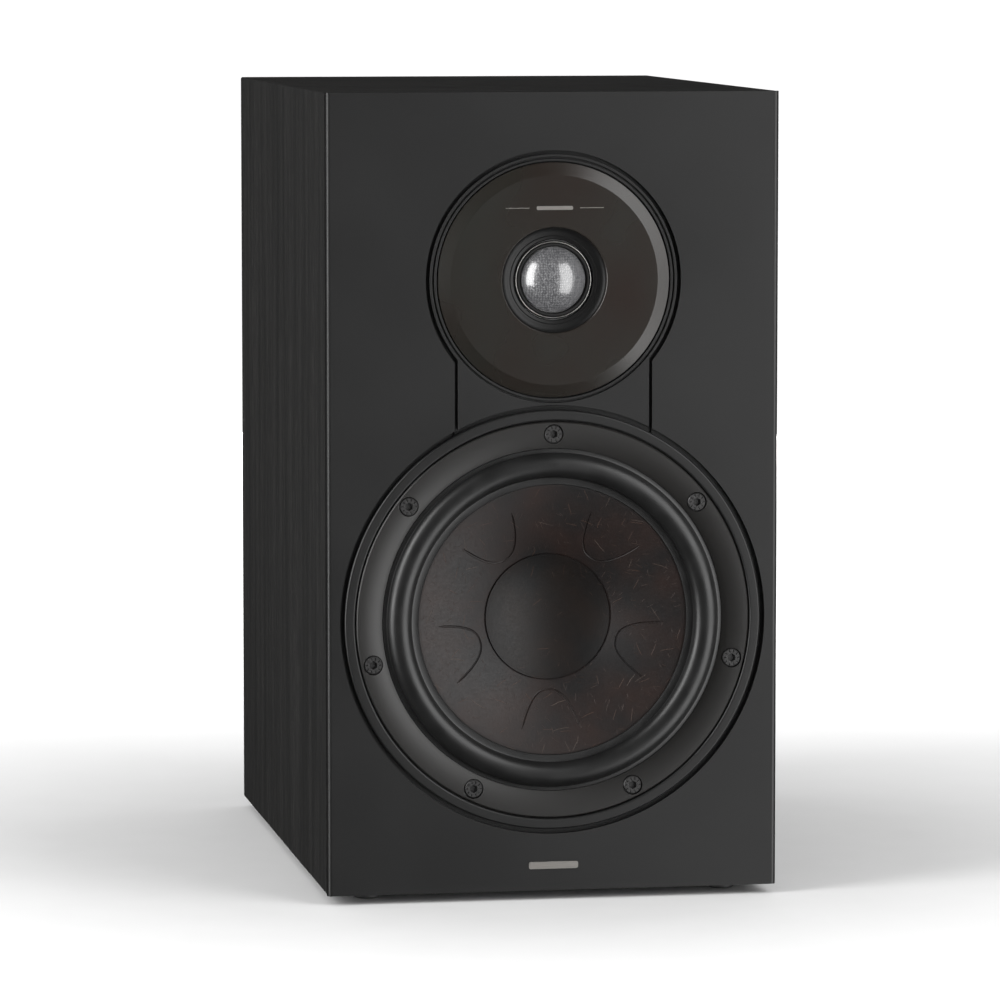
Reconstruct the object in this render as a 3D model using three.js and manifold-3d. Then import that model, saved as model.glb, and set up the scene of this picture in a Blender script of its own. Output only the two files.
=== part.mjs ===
// Two-way bookshelf speaker: a wrapped wooden box with a reflex port at the back, a bass driver
// with a paper cone, a soft-dome tweeter, and a terminal cup with two screw-down binding posts.
// Millimetres. X runs to the right seen from the front, Y from the front to the back, Z up.
import * as THREE from 'three';
import { mergeVertices } from 'three/addons/utils/BufferGeometryUtils.js';
import Module from 'manifold-3d';

const wasm = await Module();
wasm.setup();

// ---------------------------------------------------------------- driving dimensions
// Clearances
const FIT = 0.3;                    // gap between pieces that seat on or in each other
const COIL_CLEARANCE = 0.8;         // radial gap on each side of the bass voice coil
const DOME_COIL_CLEARANCE = 0.5;    // the same for the tweeter

// Cabinet
const SIDE_MARGIN = 5.7;            // baffle left beside the bass driver's groove; sets the width
const CABINET_HEIGHT = 350;
const CABINET_DEPTH = 292;          // baffle face to the back of the rear panel
const PANEL_THICKNESS = 15;
const EDGE_CHAMFER = 0.4;           // small bevel on turned and moulded edges
const BAFFLE_LIP = 4;               // covers the front edges of the panels
const BAFFLE_PLUG = 16;             // fits inside the box
const BAFFLE_EDGE_RADIUS = 2;
const BAFFLE_SEAM = 0.4;
const REBATE_DEPTH = 3;             // keyhole-shaped rebate for the two drivers and their trims
const BRACE_FRONT = 140;
const BRACE_THICKNESS = 12;
const BRACE_RIM = 28;               // width of the brace around its windows
const BRACE_CORNER = 12;
const WADDING_THICKNESS = 20;
const WADDING_BOTTOM = 70;
const WADDING_END_GAP = 2;
const FOOT_RADIUS = 6.2;
const FOOT_HEIGHT = 4.3;
const FOOT_SIDE_INSET = 20.2;
const FOOT_END_INSET = 22;

// Bass driver, from the cone outwards
const BOTTOM_MARGIN = 25.1;         // baffle left under the groove; sets the driver's height
const CONE_RADIUS = 62.6;
const CONE_LAND = 3.1;              // glued width of surround on the cone
const CONE_DEPTH = 19.6;
const CONE_EDGE_SLOPE = 0.26;       // depth gained per millimetre at the rim
const CONE_THICKNESS = 1;
const ROLL_WIDTH = 11;
const ROLL_HEIGHT = 5;
const SURROUND_RIM = 1.6;           // glued width of surround on the frame
const SURROUND_LEDGE = 4.9;         // width of the frame's ledge under it
const SURROUND_DEPTH = 1.5;         // flat parts of the surround behind the baffle face
const SURROUND_THICKNESS = 0.8;
const FLANGE_WIDTH = 11.6;
const FLANGE_DISH = 2;
const TRIM_RING_GAP = 0.5;
const TRIM_RING_WIDTH = 4.7;
const WOOFER_GROOVE = 2;
const DUST_CAP_RADIUS = 27.6;
const DUST_CAP_CURVE = 60;
const DUST_CAP_THICKNESS = 0.5;
const COIL_RADIUS = 16;             // inside of the coil former
const FORMER_WALL = 0.4;
const WINDING_WALL = 0.8;
const WINDING_LENGTH = 14;
const BASKET_DEPTH = 55;            // baffle face to the back of the basket
const BASKET_WALL = 3;
const BASKET_BASE_RADIUS = 54;
const BASKET_WINDOWS = 6;
const BASKET_WINDOW_SHARE = 0.66;   // of each window's pitch around the basket
const BASKET_WINDOW_MARGIN = 5;     // from a window to the ledges above and below it
const BASKET_BORE_CLEARANCE = 9;
const SPIDER_DEPTH = 35;
const SPIDER_THICKNESS = 0.6;
const SPIDER_WAVE = 1.4;
const SPIDER_LEDGE = 10;            // glued width of the spider on the basket
const TOP_PLATE_RADIUS = 50;
const TOP_PLATE_THICKNESS = 6;
const MAGNET_RADIUS = 56;
const MAGNET_THICKNESS = 18;
const MAGNET_BORE = 24;
const YOKE_THICKNESS = 6;
const TERMINAL_BLOCK = [6, 12, 16];

// Screws of the bass driver
const SCREW_COUNT = 7;
const SCREW_CIRCLE_INSET = 5.4;     // from the edge of the frame to the screw circle
const SCREW_HEAD_RADIUS = 4.05;
const SCREW_HEAD_HEIGHT = 1.9;
const SCREW_HEAD_SUNK = 0.3;
const SCREW_SHANK_RADIUS = 1.9;
const SCREW_LENGTH = 16;
const SCREW_SOCKET_RADIUS = 2;
const SCREW_SOCKET_DEPTH = 1.3;
const SCREW_POINT = 1.5;

// Tweeter
const DRIVER_SPACING = 0;           // from the bass driver's groove to the tweeter's bezel
const FACEPLATE_RADIUS = 51.1;
const FACEPLATE_PROUD = 2;
const FACEPLATE_BEVEL = 5.4;
const FACEPLATE_EDGE_DEPTH = 0.5;   // outer edge of the bevel, behind the baffle face
const FUNNEL_MOUTH = 23.1;
const FUNNEL_THROAT = 17.5;
const BEZEL_GAP = 0.6;
const BEZEL_WIDTH = 3;
const BEZEL_GROOVE = 1.7;
const NECK_HALF_WIDTH = 43.7;
const NECK_GROOVE = 1.4;
const DOME_RADIUS = 14.1;
const DOME_HEIGHT = 7.5;
const DOME_RIM_DEPTH = 1.8;
const DOME_THICKNESS = 0.4;
const DOME_COIL_RADIUS = 12.6;
const DOME_COIL_WALL = 0.8;
const DOME_COIL_LENGTH = 5.5;
const DOME_ROLL_HEIGHT = 1;
const DOME_FOOT = 0.4;
const TWEETER_PLATE_RADIUS = 35;
const TWEETER_PLATE_THICKNESS = 4;
const TWEETER_MAGNET_RADIUS = 36;
const TWEETER_MAGNET_THICKNESS = 15;
const TWEETER_MAGNET_BORE = 16;
const TWEETER_YOKE_THICKNESS = 5;

// Reflex port
const PORT_HEIGHT = 265;
const PORT_RADIUS = 24;
const PORT_WALL = 2.5;
const PORT_LENGTH = 120;
const PORT_FLARE = 7;
const PORT_FLANGE_RADIUS = 37;
const PORT_FLANGE_THICKNESS = 2.5;

// Terminal cup and binding posts
const TERMINAL_HEIGHT = 95;
const CUP_WIDTH = 60;               // inside the recess
const CUP_HEIGHT = 40;
const CUP_RECESS = 15;
const CUP_WALL = 3;
const CUP_FLANGE = 13;              // flange around the cup's walls
const CUP_CORNER = 5;
const CUP_SCREW_INSET = 6;
const CUP_SCREW_HEAD_RADIUS = 3.4;
const CUP_SCREW_HEAD_HEIGHT = 1.8;
const CUP_SCREW_SHANK_RADIUS = 1.6;
const CUP_SCREW_LENGTH = 14;
const POST_SPACING = 32;
const POST_RADIUS = 3;
const POST_SOCKET_RADIUS = 2;
const POST_SOCKET_DEPTH = 14;
const POST_STICK_OUT = 0.5;         // beyond the knob when it is screwed down
const POST_COLLAR_RADIUS = 6.5;
const POST_COLLAR_HEIGHT = 3;
const POST_NUT_RADIUS = 5.5;
const POST_NUT_HEIGHT = 4;
const POST_INNER_LENGTH = 14;       // tail inside the cabinet
const WASHER_RADIUS = 6.8;
const WASHER_THICKNESS = 1.2;
const KNOB_RADIUS = 7.5;
const KNOB_LENGTH = 16;
const KNOB_CLEARANCE = 0.3;
const KNOB_FLUTES = 12;
const KNOB_FLUTE_RADIUS = 1.3;
const KNOB_FLUTE_DEPTH = 0.7;
const KNOB_SKIRT = 3;               // smooth length next to the washer

// Crossover
const BOARD_WIDTH = 96;
const BOARD_DEPTH = 74;
const BOARD_THICKNESS = 1.6;
const BOARD_REAR_GAP = 16;          // from the board to the rear panel
const LEAD_RADIUS = 1.4;

// How finely round pieces are cut into facets
const LARGE_ROUND = 36;
const MEDIUM_ROUND = 20;
const SMALL_ROUND = 12;
const ROLL_FACETS = 5;
const FLARE_FACETS = 4;

// ---------------------------------------------------------------- sizes that follow
const innerTop = CABINET_HEIGHT - PANEL_THICKNESS;
const baffleBack = BAFFLE_LIP + BAFFLE_PLUG;
const panelFront = BAFFLE_LIP + BAFFLE_SEAM;
const rearPanelFront = CABINET_DEPTH - PANEL_THICKNESS;

const rollOuter = CONE_RADIUS + ROLL_WIDTH;
const surroundOuter = rollOuter + SURROUND_RIM;
const frameWell = surroundOuter + FIT;
const frameRadius = frameWell + FLANGE_WIDTH;
const trimRingInner = frameRadius + TRIM_RING_GAP;
const trimRingOuter = trimRingInner + TRIM_RING_WIDTH;
const wooferRebate = trimRingOuter + WOOFER_GROOVE;
const wooferHeight = BOTTOM_MARGIN + wooferRebate;
const halfWidth = wooferRebate + SIDE_MARGIN;
const innerHalfWidth = halfWidth - PANEL_THICKNESS;
const basketRadius = frameWell + 0.5;
const screwCircle = frameRadius - SCREW_CIRCLE_INSET;
const seatDepth = REBATE_DEPTH - FIT;
const formerOuter = COIL_RADIUS + FORMER_WALL;
const windingOuter = formerOuter + WINDING_WALL;
const topPlateFront = BASKET_DEPTH + FIT;
const topPlateBack = topPlateFront + TOP_PLATE_THICKNESS;
const magnetFront = topPlateBack + FIT;
const magnetBack = magnetFront + MAGNET_THICKNESS;
const yokeFront = magnetBack + FIT;
const yokeBack = yokeFront + YOKE_THICKNESS;

const bezelInner = FACEPLATE_RADIUS + BEZEL_GAP;
const bezelOuter = bezelInner + BEZEL_WIDTH;
const tweeterRebate = bezelOuter + BEZEL_GROOVE;
const tweeterHeight = wooferHeight + wooferRebate + DRIVER_SPACING + bezelOuter;
const tweeterHole = TWEETER_MAGNET_RADIUS + 2;
const tweeterPlateFront = REBATE_DEPTH;
const tweeterPlateBack = tweeterPlateFront + TWEETER_PLATE_THICKNESS;
const tweeterMagnetFront = tweeterPlateBack + FIT;
const tweeterMagnetBack = tweeterMagnetFront + TWEETER_MAGNET_THICKNESS;
const tweeterYokeFront = tweeterMagnetBack + FIT;
const tweeterYokeBack = tweeterYokeFront + TWEETER_YOKE_THICKNESS;
const domeCoilOuter = DOME_COIL_RADIUS + DOME_COIL_WALL;

const portOuter = PORT_RADIUS + PORT_WALL;
const portCollar = PORT_RADIUS + PORT_FLARE + EDGE_CHAMFER * 2;
const portCollarBack = PORT_FLANGE_THICKNESS - PORT_FLARE * 2 - PORT_WALL;
const cupBodyWidth = CUP_WIDTH + 2 * CUP_WALL;
const cupBodyHeight = CUP_HEIGHT + 2 * CUP_WALL;
const cupFlangeWidth = cupBodyWidth + 2 * CUP_FLANGE;
const cupFlangeHeight = cupBodyHeight + 2 * CUP_FLANGE;
const cupFlangeFront = CABINET_DEPTH + FIT;
const cupFace = cupFlangeFront + CUP_WALL;
const cupFloor = cupFace - CUP_RECESS;
const washerFront = cupFloor + POST_COLLAR_HEIGHT + FIT;
const knobFront = washerFront + WASHER_THICKNESS + FIT;
const knobBack = knobFront + KNOB_LENGTH;

const boardTop = PANEL_THICKNESS + FIT + BOARD_THICKNESS;
const boardBack = rearPanelFront - BOARD_REAR_GAP;
const boardFront = boardBack - BOARD_DEPTH;

// ---------------------------------------------------------------- finishes
const finish = (color, roughness, metalness = 0) =>
  new THREE.MeshStandardMaterial({ color, roughness, metalness });

const ASH_VINYL = finish(0x2b2a29, 0.6);
const BAFFLE_PAINT = finish(0x33312f, 0.5);
const FRAME_PLASTIC = finish(0x35322f, 0.45);
const SURROUND_RUBBER = finish(0x1f1d1c, 0.55);
const CONE_PAPER = finish(0x2a211c, 0.7);
const DOME_CLOTH = finish(0x8b8a8c, 0.4);
const BLACK_STEEL = finish(0x1c1c1e, 0.35, 0.9);
const PLATED_STEEL = finish(0xa9a9a6, 0.4, 0.9);
const FERRITE = finish(0x2f3033, 0.7);
const SPIDER_CLOTH = finish(0xb99a4f, 0.9);
const COPPER = finish(0xb0643a, 0.35, 0.9);
const GOLD_PLATE = finish(0xc9a24a, 0.3, 0.9);
const BLACK_PLASTIC = finish(0x202022, 0.5);
const RED_PLASTIC = finish(0xa01c1c, 0.35);
const BOARD_LAMINATE = finish(0x2e5a3a, 0.5);
const CAPACITOR_FILM = finish(0x8a2f24, 0.45);
const CERAMIC = finish(0xd6d2c6, 0.7);
const BARE_FIBREBOARD = finish(0x8c6a45, 0.8);
const WADDING = finish(0xe4e2da, 0.95);
const FOOT_RUBBER = finish(0x1a1a1a, 0.8);
const LEAD_RED = finish(0x9c2420, 0.5);
const LEAD_BLACK = finish(0x1b1b1c, 0.5);

// ---------------------------------------------------------------- making and cutting
const speaker = new THREE.Group();

function place(name, geometry, material, parent = speaker) {
  const mesh = new THREE.Mesh(geometry, material);
  mesh.name = name;
  parent.add(mesh);
  return mesh;
}

function groupAt(x, y, z) {
  const group = new THREE.Group();
  group.position.set(x, y, z);
  speaker.add(group);
  return group;
}

// A flat outline drawn in X and Z, as thick as given from its front face towards the back.
function plate(outline, front, thickness, curveSegments = SMALL_ROUND) {
  const geometry = new THREE.ExtrudeGeometry(outline, { depth: 1, bevelEnabled: false, curveSegments });
  const position = geometry.attributes.position;
  for (let i = 0; i < position.count; i += 1) {
    const depth = position.getZ(i) > 0.5 ? front : front + thickness;
    position.setXYZ(i, position.getX(i), depth, position.getY(i));
  }
  return geometry;
}

function polygon(points) {
  return new THREE.Shape(points.map(([x, z]) => new THREE.Vector2(x, z)));
}

function rectangle(width, height, radius = 0, centreZ = 0) {
  const [left, right] = [-width / 2, width / 2];
  const [low, high] = [centreZ - height / 2, centreZ + height / 2];
  if (radius === 0) return polygon([[left, low], [right, low], [right, high], [left, high]]);
  const shape = new THREE.Shape();
  shape.moveTo(left + radius, low);
  shape.lineTo(right - radius, low);
  shape.absarc(right - radius, low + radius, radius, -Math.PI / 2, 0);
  shape.lineTo(right, high - radius);
  shape.absarc(right - radius, high - radius, radius, 0, Math.PI / 2);
  shape.lineTo(left + radius, high);
  shape.absarc(left + radius, high - radius, radius, Math.PI / 2, Math.PI);
  shape.lineTo(left, low + radius);
  shape.absarc(left + radius, low + radius, radius, Math.PI, Math.PI * 1.5);
  return shape;
}

function box([left, front, low], [right, back, high]) {
  return plate(polygon([[left, low], [right, low], [right, high], [left, high]]), front, back - front);
}

// A profile of [radius, depth] points turned about the Y axis. One that starts on the axis ends on it.
function turned(profile, segments = LARGE_ROUND) {
  let area = 0;
  profile.forEach(([radius, depth], i) => {
    const [nextRadius, nextDepth] = profile[(i + 1) % profile.length];
    area += radius * nextDepth - nextRadius * depth;
  });
  const points = profile.map(([radius, depth]) => new THREE.Vector2(radius, depth));
  if (area < 0) points.reverse();
  if (profile[0][0] > 0) points.push(points[0].clone());
  return new THREE.LatheGeometry(points, segments);
}

function tube(inner, outer, front, back, segments = MEDIUM_ROUND) {
  return turned([[inner, front], [outer, front], [outer, back], [inner, back]], segments);
}

function rod(radius, front, back, segments = SMALL_ROUND) {
  return turned([[0, front], [radius, front], [radius, back], [0, back]], segments);
}

// Points of a curve as [x, y] pairs, for profiles.
function along(curve, steps) {
  return curve.getPoints(steps).map((point) => [point.x, point.y]);
}

function toSolid(geometry) {
  const bare = geometry.clone();
  bare.deleteAttribute('normal');
  bare.deleteAttribute('uv');
  const merged = mergeVertices(bare, 1e-4);
  const corners = merged.index.array;
  const triangles = [];
  for (let i = 0; i < corners.length; i += 3) {
    const [a, b, c] = [corners[i], corners[i + 1], corners[i + 2]];
    if (a !== b && b !== c && c !== a) triangles.push(a, b, c);
  }
  return new wasm.Manifold(new wasm.Mesh({
    numProp: 3,
    vertProperties: new Float32Array(merged.attributes.position.array),
    triVerts: new Uint32Array(triangles),
  }));
}

function toGeometry(solid) {
  const { vertProperties, triVerts } = solid.getMesh();
  const geometry = new THREE.BufferGeometry();
  geometry.setAttribute('position', new THREE.BufferAttribute(new Float32Array(vertProperties), 3));
  geometry.setIndex(new THREE.BufferAttribute(new Uint32Array(triVerts), 1));
  geometry.computeVertexNormals();
  return geometry;
}

function cut(geometry, cutters) {
  let solid = toSolid(geometry);
  cutters.forEach((cutter) => { solid = solid.subtract(toSolid(cutter)); });
  return toGeometry(solid);
}

function joined(pieces) {
  const [first, ...others] = pieces.map(toSolid);
  return toGeometry(others.reduce((sum, piece) => sum.add(piece), first));
}

const movedTo = (geometry, x, y, z) => geometry.translate(x, y, z);

// ---------------------------------------------------------------- where the screws go
const screwPlaces = Array.from({ length: SCREW_COUNT }, (_, i) => {
  const angle = Math.PI / 2 + (i * 2 * Math.PI) / SCREW_COUNT;
  return [screwCircle * Math.cos(angle), screwCircle * Math.sin(angle)];
});

const cupScrewPlaces = [[-1, -1], [1, -1], [1, 1], [-1, 1]].map(([sideX, sideZ]) => [
  sideX * (cupFlangeWidth / 2 - CUP_SCREW_INSET),
  sideZ * (cupFlangeHeight / 2 - CUP_SCREW_INSET),
]);

// ---------------------------------------------------------------- cabinet panels
// Four panels mitred at the corners, from behind the baffle to the back.
const panelRun = CABINET_DEPTH - panelFront;
const mitred = (corners) => plate(polygon(corners), panelFront, panelRun);

place('left_side_panel', mitred([
  [-halfWidth, 0], [-innerHalfWidth, PANEL_THICKNESS],
  [-innerHalfWidth, innerTop], [-halfWidth, CABINET_HEIGHT],
]), ASH_VINYL);
place('right_side_panel', mitred([
  [halfWidth, 0], [halfWidth, CABINET_HEIGHT], [innerHalfWidth, innerTop], [innerHalfWidth, PANEL_THICKNESS],
]), ASH_VINYL);
place('top_panel', mitred([
  [-halfWidth, CABINET_HEIGHT], [-innerHalfWidth, innerTop],
  [innerHalfWidth, innerTop], [halfWidth, CABINET_HEIGHT],
]), ASH_VINYL);
place('bottom_panel', mitred([
  [-halfWidth, 0], [halfWidth, 0], [innerHalfWidth, PANEL_THICKNESS], [-innerHalfWidth, PANEL_THICKNESS],
]), ASH_VINYL);

const innerWidth = 2 * (innerHalfWidth - FIT);
const innerHeight = innerTop - PANEL_THICKNESS - 2 * FIT;
const innerMiddle = CABINET_HEIGHT / 2;

place('rear_panel', cut(
  plate(rectangle(innerWidth, innerHeight, 0, innerMiddle), rearPanelFront, PANEL_THICKNESS),
  [
    movedTo(rod(portCollar + FIT, rearPanelFront - 1, CABINET_DEPTH + 1, MEDIUM_ROUND), 0, 0, PORT_HEIGHT),
    plate(
      rectangle(cupBodyWidth + 2 * FIT, cupBodyHeight + 2 * FIT, 0, TERMINAL_HEIGHT),
      rearPanelFront - 1, PANEL_THICKNESS + 2,
    ),
    ...cupScrewPlaces.map(([x, z]) => movedTo(
      rod(CUP_SCREW_SHANK_RADIUS + FIT, rearPanelFront - 1, CABINET_DEPTH + 1), x, 0, TERMINAL_HEIGHT + z,
    )),
  ],
), ASH_VINYL);

// ---------------------------------------------------------------- baffle
// A lip as wide as the box with rounded upright edges, and a plug inside the panels.
const baffleLip = rectangle(2 * halfWidth, CABINET_HEIGHT, 0, innerMiddle);
const edgeCutters = [-1, 1].map((side) => {
  const corner = side * halfWidth;
  const inset = side * (halfWidth - BAFFLE_EDGE_RADIUS);
  const shape = new THREE.Shape();
  shape.moveTo(corner + side, -1);
  shape.lineTo(inset, -1);
  shape.lineTo(inset, 0);
  const end = side > 0 ? 0 : -Math.PI;
  shape.absarc(inset, BAFFLE_EDGE_RADIUS, BAFFLE_EDGE_RADIUS, -Math.PI / 2, end, side < 0);
  shape.lineTo(corner + side, BAFFLE_EDGE_RADIUS);
  const bar = new THREE.ExtrudeGeometry(shape, {
    depth: CABINET_HEIGHT + 2, bevelEnabled: false, curveSegments: 4,
  });
  return bar.translate(0, 0, -1);
});

const screwPilots = screwPlaces.map(([x, z]) => movedTo(
  rod(SCREW_SHANK_RADIUS + FIT, 0, SCREW_HEAD_SUNK + SCREW_LENGTH + 1), x, 0, wooferHeight + z,
));
const baffleBlank = joined([
  plate(baffleLip, 0, BAFFLE_LIP),
  plate(rectangle(innerWidth, innerHeight, 0, innerMiddle), BAFFLE_LIP - 1, BAFFLE_PLUG + 1),
]);
const neckRebate = box(
  [-NECK_HALF_WIDTH, -1, wooferHeight],
  [NECK_HALF_WIDTH, REBATE_DEPTH, tweeterHeight],
);
place('front_baffle', cut(baffleBlank, [
  ...edgeCutters,
  movedTo(rod(wooferRebate, -1, REBATE_DEPTH, LARGE_ROUND), 0, 0, wooferHeight),
  movedTo(rod(tweeterRebate, -1, REBATE_DEPTH, LARGE_ROUND), 0, 0, tweeterHeight),
  neckRebate,
  movedTo(rod(basketRadius + FIT, -1, baffleBack + 1, LARGE_ROUND), 0, 0, wooferHeight),
  movedTo(rod(tweeterHole, -1, baffleBack + 1, LARGE_ROUND), 0, 0, tweeterHeight),
  ...screwPilots,
]), BAFFLE_PAINT);

// ---------------------------------------------------------------- trims in the baffle's rebate
// The bezel fills the keyhole: a ring around the tweeter and a neck that ends over the bass driver.
const neckTrim = box(
  [-NECK_HALF_WIDTH + NECK_GROOVE, 0, wooferHeight],
  [NECK_HALF_WIDTH - NECK_GROOVE, seatDepth, tweeterHeight],
);
place('tweeter_bezel', cut(
  joined([movedTo(rod(bezelOuter, 0, seatDepth, LARGE_ROUND), 0, 0, tweeterHeight), neckTrim]),
  [
    movedTo(rod(bezelInner, -1, REBATE_DEPTH, LARGE_ROUND), 0, 0, tweeterHeight),
    movedTo(rod(wooferRebate, -1, REBATE_DEPTH, LARGE_ROUND), 0, 0, wooferHeight),
  ],
), BAFFLE_PAINT);

// ---------------------------------------------------------------- brace and wadding
const braceOutline = rectangle(2 * innerHalfWidth, innerTop - PANEL_THICKNESS, 0, innerMiddle);
const braceWindowWidth = 2 * (innerHalfWidth - BRACE_RIM);
const braceWindowHeight = (innerTop - PANEL_THICKNESS - 3 * BRACE_RIM) / 2;
const lowerWindow = innerMiddle - (braceWindowHeight + BRACE_RIM) / 2;
const upperWindow = innerMiddle + (braceWindowHeight + BRACE_RIM) / 2;
[lowerWindow, upperWindow].forEach((centre) => {
  braceOutline.holes.push(rectangle(braceWindowWidth, braceWindowHeight, BRACE_CORNER, centre));
});
place('window_brace', plate(braceOutline, BRACE_FRONT, BRACE_THICKNESS, 3), BARE_FIBREBOARD);

// Wadding lines both sides and the top between the brace and the rear panel.
const wadFront = BRACE_FRONT + BRACE_THICKNESS + WADDING_END_GAP;
const wadBack = rearPanelFront - WADDING_END_GAP;
const wadOuter = innerHalfWidth - FIT;
const wadInner = wadOuter - WADDING_THICKNESS;
const wadTop = innerTop - FIT;
place('acoustic_wadding', plate(polygon([
  [-wadOuter, WADDING_BOTTOM], [-wadInner, WADDING_BOTTOM], [-wadInner, wadTop - WADDING_THICKNESS],
  [wadInner, wadTop - WADDING_THICKNESS], [wadInner, WADDING_BOTTOM], [wadOuter, WADDING_BOTTOM],
  [wadOuter, wadTop], [-wadOuter, wadTop],
]), wadFront, wadBack - wadFront), WADDING);

// ---------------------------------------------------------------- feet
const footNames = ['foot_front_left', 'foot_front_right', 'foot_rear_right', 'foot_rear_left'];
[[-1, 0], [1, 0], [1, 1], [-1, 1]].forEach(([side, rear], i) => {
  const foot = turned([
    [0, -FOOT_HEIGHT], [FOOT_RADIUS - 2 * EDGE_CHAMFER, -FOOT_HEIGHT],
    [FOOT_RADIUS, 2 * EDGE_CHAMFER - FOOT_HEIGHT], [FOOT_RADIUS, -FIT], [0, -FIT],
  ], MEDIUM_ROUND).rotateX(Math.PI / 2);
  const mesh = place(footNames[i], foot, FOOT_RUBBER);
  const depth = rear ? CABINET_DEPTH - FOOT_END_INSET : FOOT_END_INSET;
  mesh.position.set(side * (halfWidth - FOOT_SIDE_INSET), depth, 0);
});

// ---------------------------------------------------------------- bass driver
const woofer = groupAt(0, 0, wooferHeight);

place('woofer_trim_ring', turned([
  [trimRingInner, EDGE_CHAMFER], [trimRingInner + EDGE_CHAMFER, 0], [trimRingOuter - EDGE_CHAMFER, 0],
  [trimRingOuter, EDGE_CHAMFER], [trimRingOuter, seatDepth], [trimRingInner, seatDepth],
]), BAFFLE_PAINT, woofer);

// Cast frame: a dished flange, a ledge for the surround, and a conical basket with windows.
const surroundBack = SURROUND_DEPTH + SURROUND_THICKNESS;
const surroundLedge = surroundBack + FIT;
const ledgeInner = frameWell - SURROUND_LEDGE;
const ledgeBack = surroundLedge + BASKET_WALL;
const basketFoot = BASKET_DEPTH - BASKET_WALL;
const basketBore = windingOuter + BASKET_BORE_CLEARANCE;
const spiderLedge = SPIDER_DEPTH + SPIDER_THICKNESS + FIT;
const basketTaper = (basketRadius - BASKET_BASE_RADIUS) / (BASKET_DEPTH - ledgeBack);
const spiderSeat = basketRadius - basketTaper * (spiderLedge - ledgeBack) - BASKET_WALL;
const spiderOuter = spiderSeat - FIT;
const spiderLedgeInner = spiderOuter - SPIDER_LEDGE;
const screwHeadDepth = SCREW_HEAD_SUNK + SCREW_HEAD_HEIGHT;
const basketBlank = turned([
  [frameRadius - EDGE_CHAMFER, 0], [frameRadius, EDGE_CHAMFER], [frameRadius, seatDepth],
  [basketRadius, seatDepth],
  [basketRadius, ledgeBack], [BASKET_BASE_RADIUS, BASKET_DEPTH], [basketBore, BASKET_DEPTH],
  [basketBore, basketFoot], [spiderLedgeInner, basketFoot], [spiderLedgeInner, spiderLedge],
  [spiderSeat, spiderLedge], [ledgeInner, ledgeBack], [ledgeInner, surroundLedge], [frameWell, surroundLedge],
  [frameWell, FLANGE_DISH],
]);
const windowSpan = (BASKET_WINDOW_SHARE * 2 * Math.PI) / BASKET_WINDOWS;
const windowFront = ledgeBack + BASKET_WINDOW_MARGIN;
const windowBack = spiderLedge - BASKET_WINDOW_MARGIN;
const basketWindows = Array.from({ length: BASKET_WINDOWS }, (_, i) => {
  const middle = ((i + 0.5) * 2 * Math.PI) / BASKET_WINDOWS;
  const sector = new THREE.Shape();
  sector.absarc(0, 0, spiderLedgeInner, middle - windowSpan / 2, middle + windowSpan / 2);
  sector.absarc(0, 0, frameRadius, middle + windowSpan / 2, middle - windowSpan / 2, true);
  return plate(sector, windowFront, windowBack - windowFront, 2);
});
const screwSeats = screwPlaces.flatMap(([x, z]) => [
  movedTo(rod(SCREW_HEAD_RADIUS + FIT, -1, screwHeadDepth), x, 0, z),
  movedTo(rod(SCREW_SHANK_RADIUS + FIT, 0, REBATE_DEPTH + 1), x, 0, z),
]);
place('woofer_frame', cut(basketBlank, [...basketWindows, ...screwSeats]), FRAME_PLASTIC, woofer);

// Socket-head screws, one for each seat.
const screwBlank = turned([
  [0, SCREW_HEAD_SUNK], [SCREW_HEAD_RADIUS - EDGE_CHAMFER, SCREW_HEAD_SUNK],
  [SCREW_HEAD_RADIUS, SCREW_HEAD_SUNK + EDGE_CHAMFER], [SCREW_HEAD_RADIUS, screwHeadDepth],
  [SCREW_SHANK_RADIUS, screwHeadDepth], [SCREW_SHANK_RADIUS, SCREW_HEAD_SUNK + SCREW_LENGTH - SCREW_POINT],
  [0, SCREW_HEAD_SUNK + SCREW_LENGTH],
], SMALL_ROUND);
const socket = rod(SCREW_SOCKET_RADIUS, -1, SCREW_HEAD_SUNK + SCREW_SOCKET_DEPTH, 6);
const screwGeometry = cut(screwBlank, [socket]);
screwPlaces.forEach(([x, z], i) => {
  const mesh = place(`woofer_screw_${i + 1}`, screwGeometry, BLACK_STEEL, woofer);
  mesh.position.set(x, 0, z);
});

// Half-roll surround from the frame's ledge to the rim of the cone.
const rollCentre = (CONE_RADIUS + rollOuter) / 2;
const rollArc = (halfSpan, height, depth, steps) =>
  along(new THREE.EllipseCurve(rollCentre, depth, halfSpan, height, 0, -Math.PI, true), steps);
place('woofer_surround', turned([
  [surroundOuter, SURROUND_DEPTH],
  ...rollArc(ROLL_WIDTH / 2, ROLL_HEIGHT, SURROUND_DEPTH, ROLL_FACETS),
  [CONE_RADIUS - CONE_LAND, SURROUND_DEPTH], [CONE_RADIUS - CONE_LAND, surroundBack],
  ...rollArc(
    ROLL_WIDTH / 2 - SURROUND_THICKNESS, ROLL_HEIGHT - SURROUND_THICKNESS, surroundBack, ROLL_FACETS,
  ).reverse(),
  [surroundOuter, surroundBack],
]), SURROUND_RUBBER, woofer);

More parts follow.
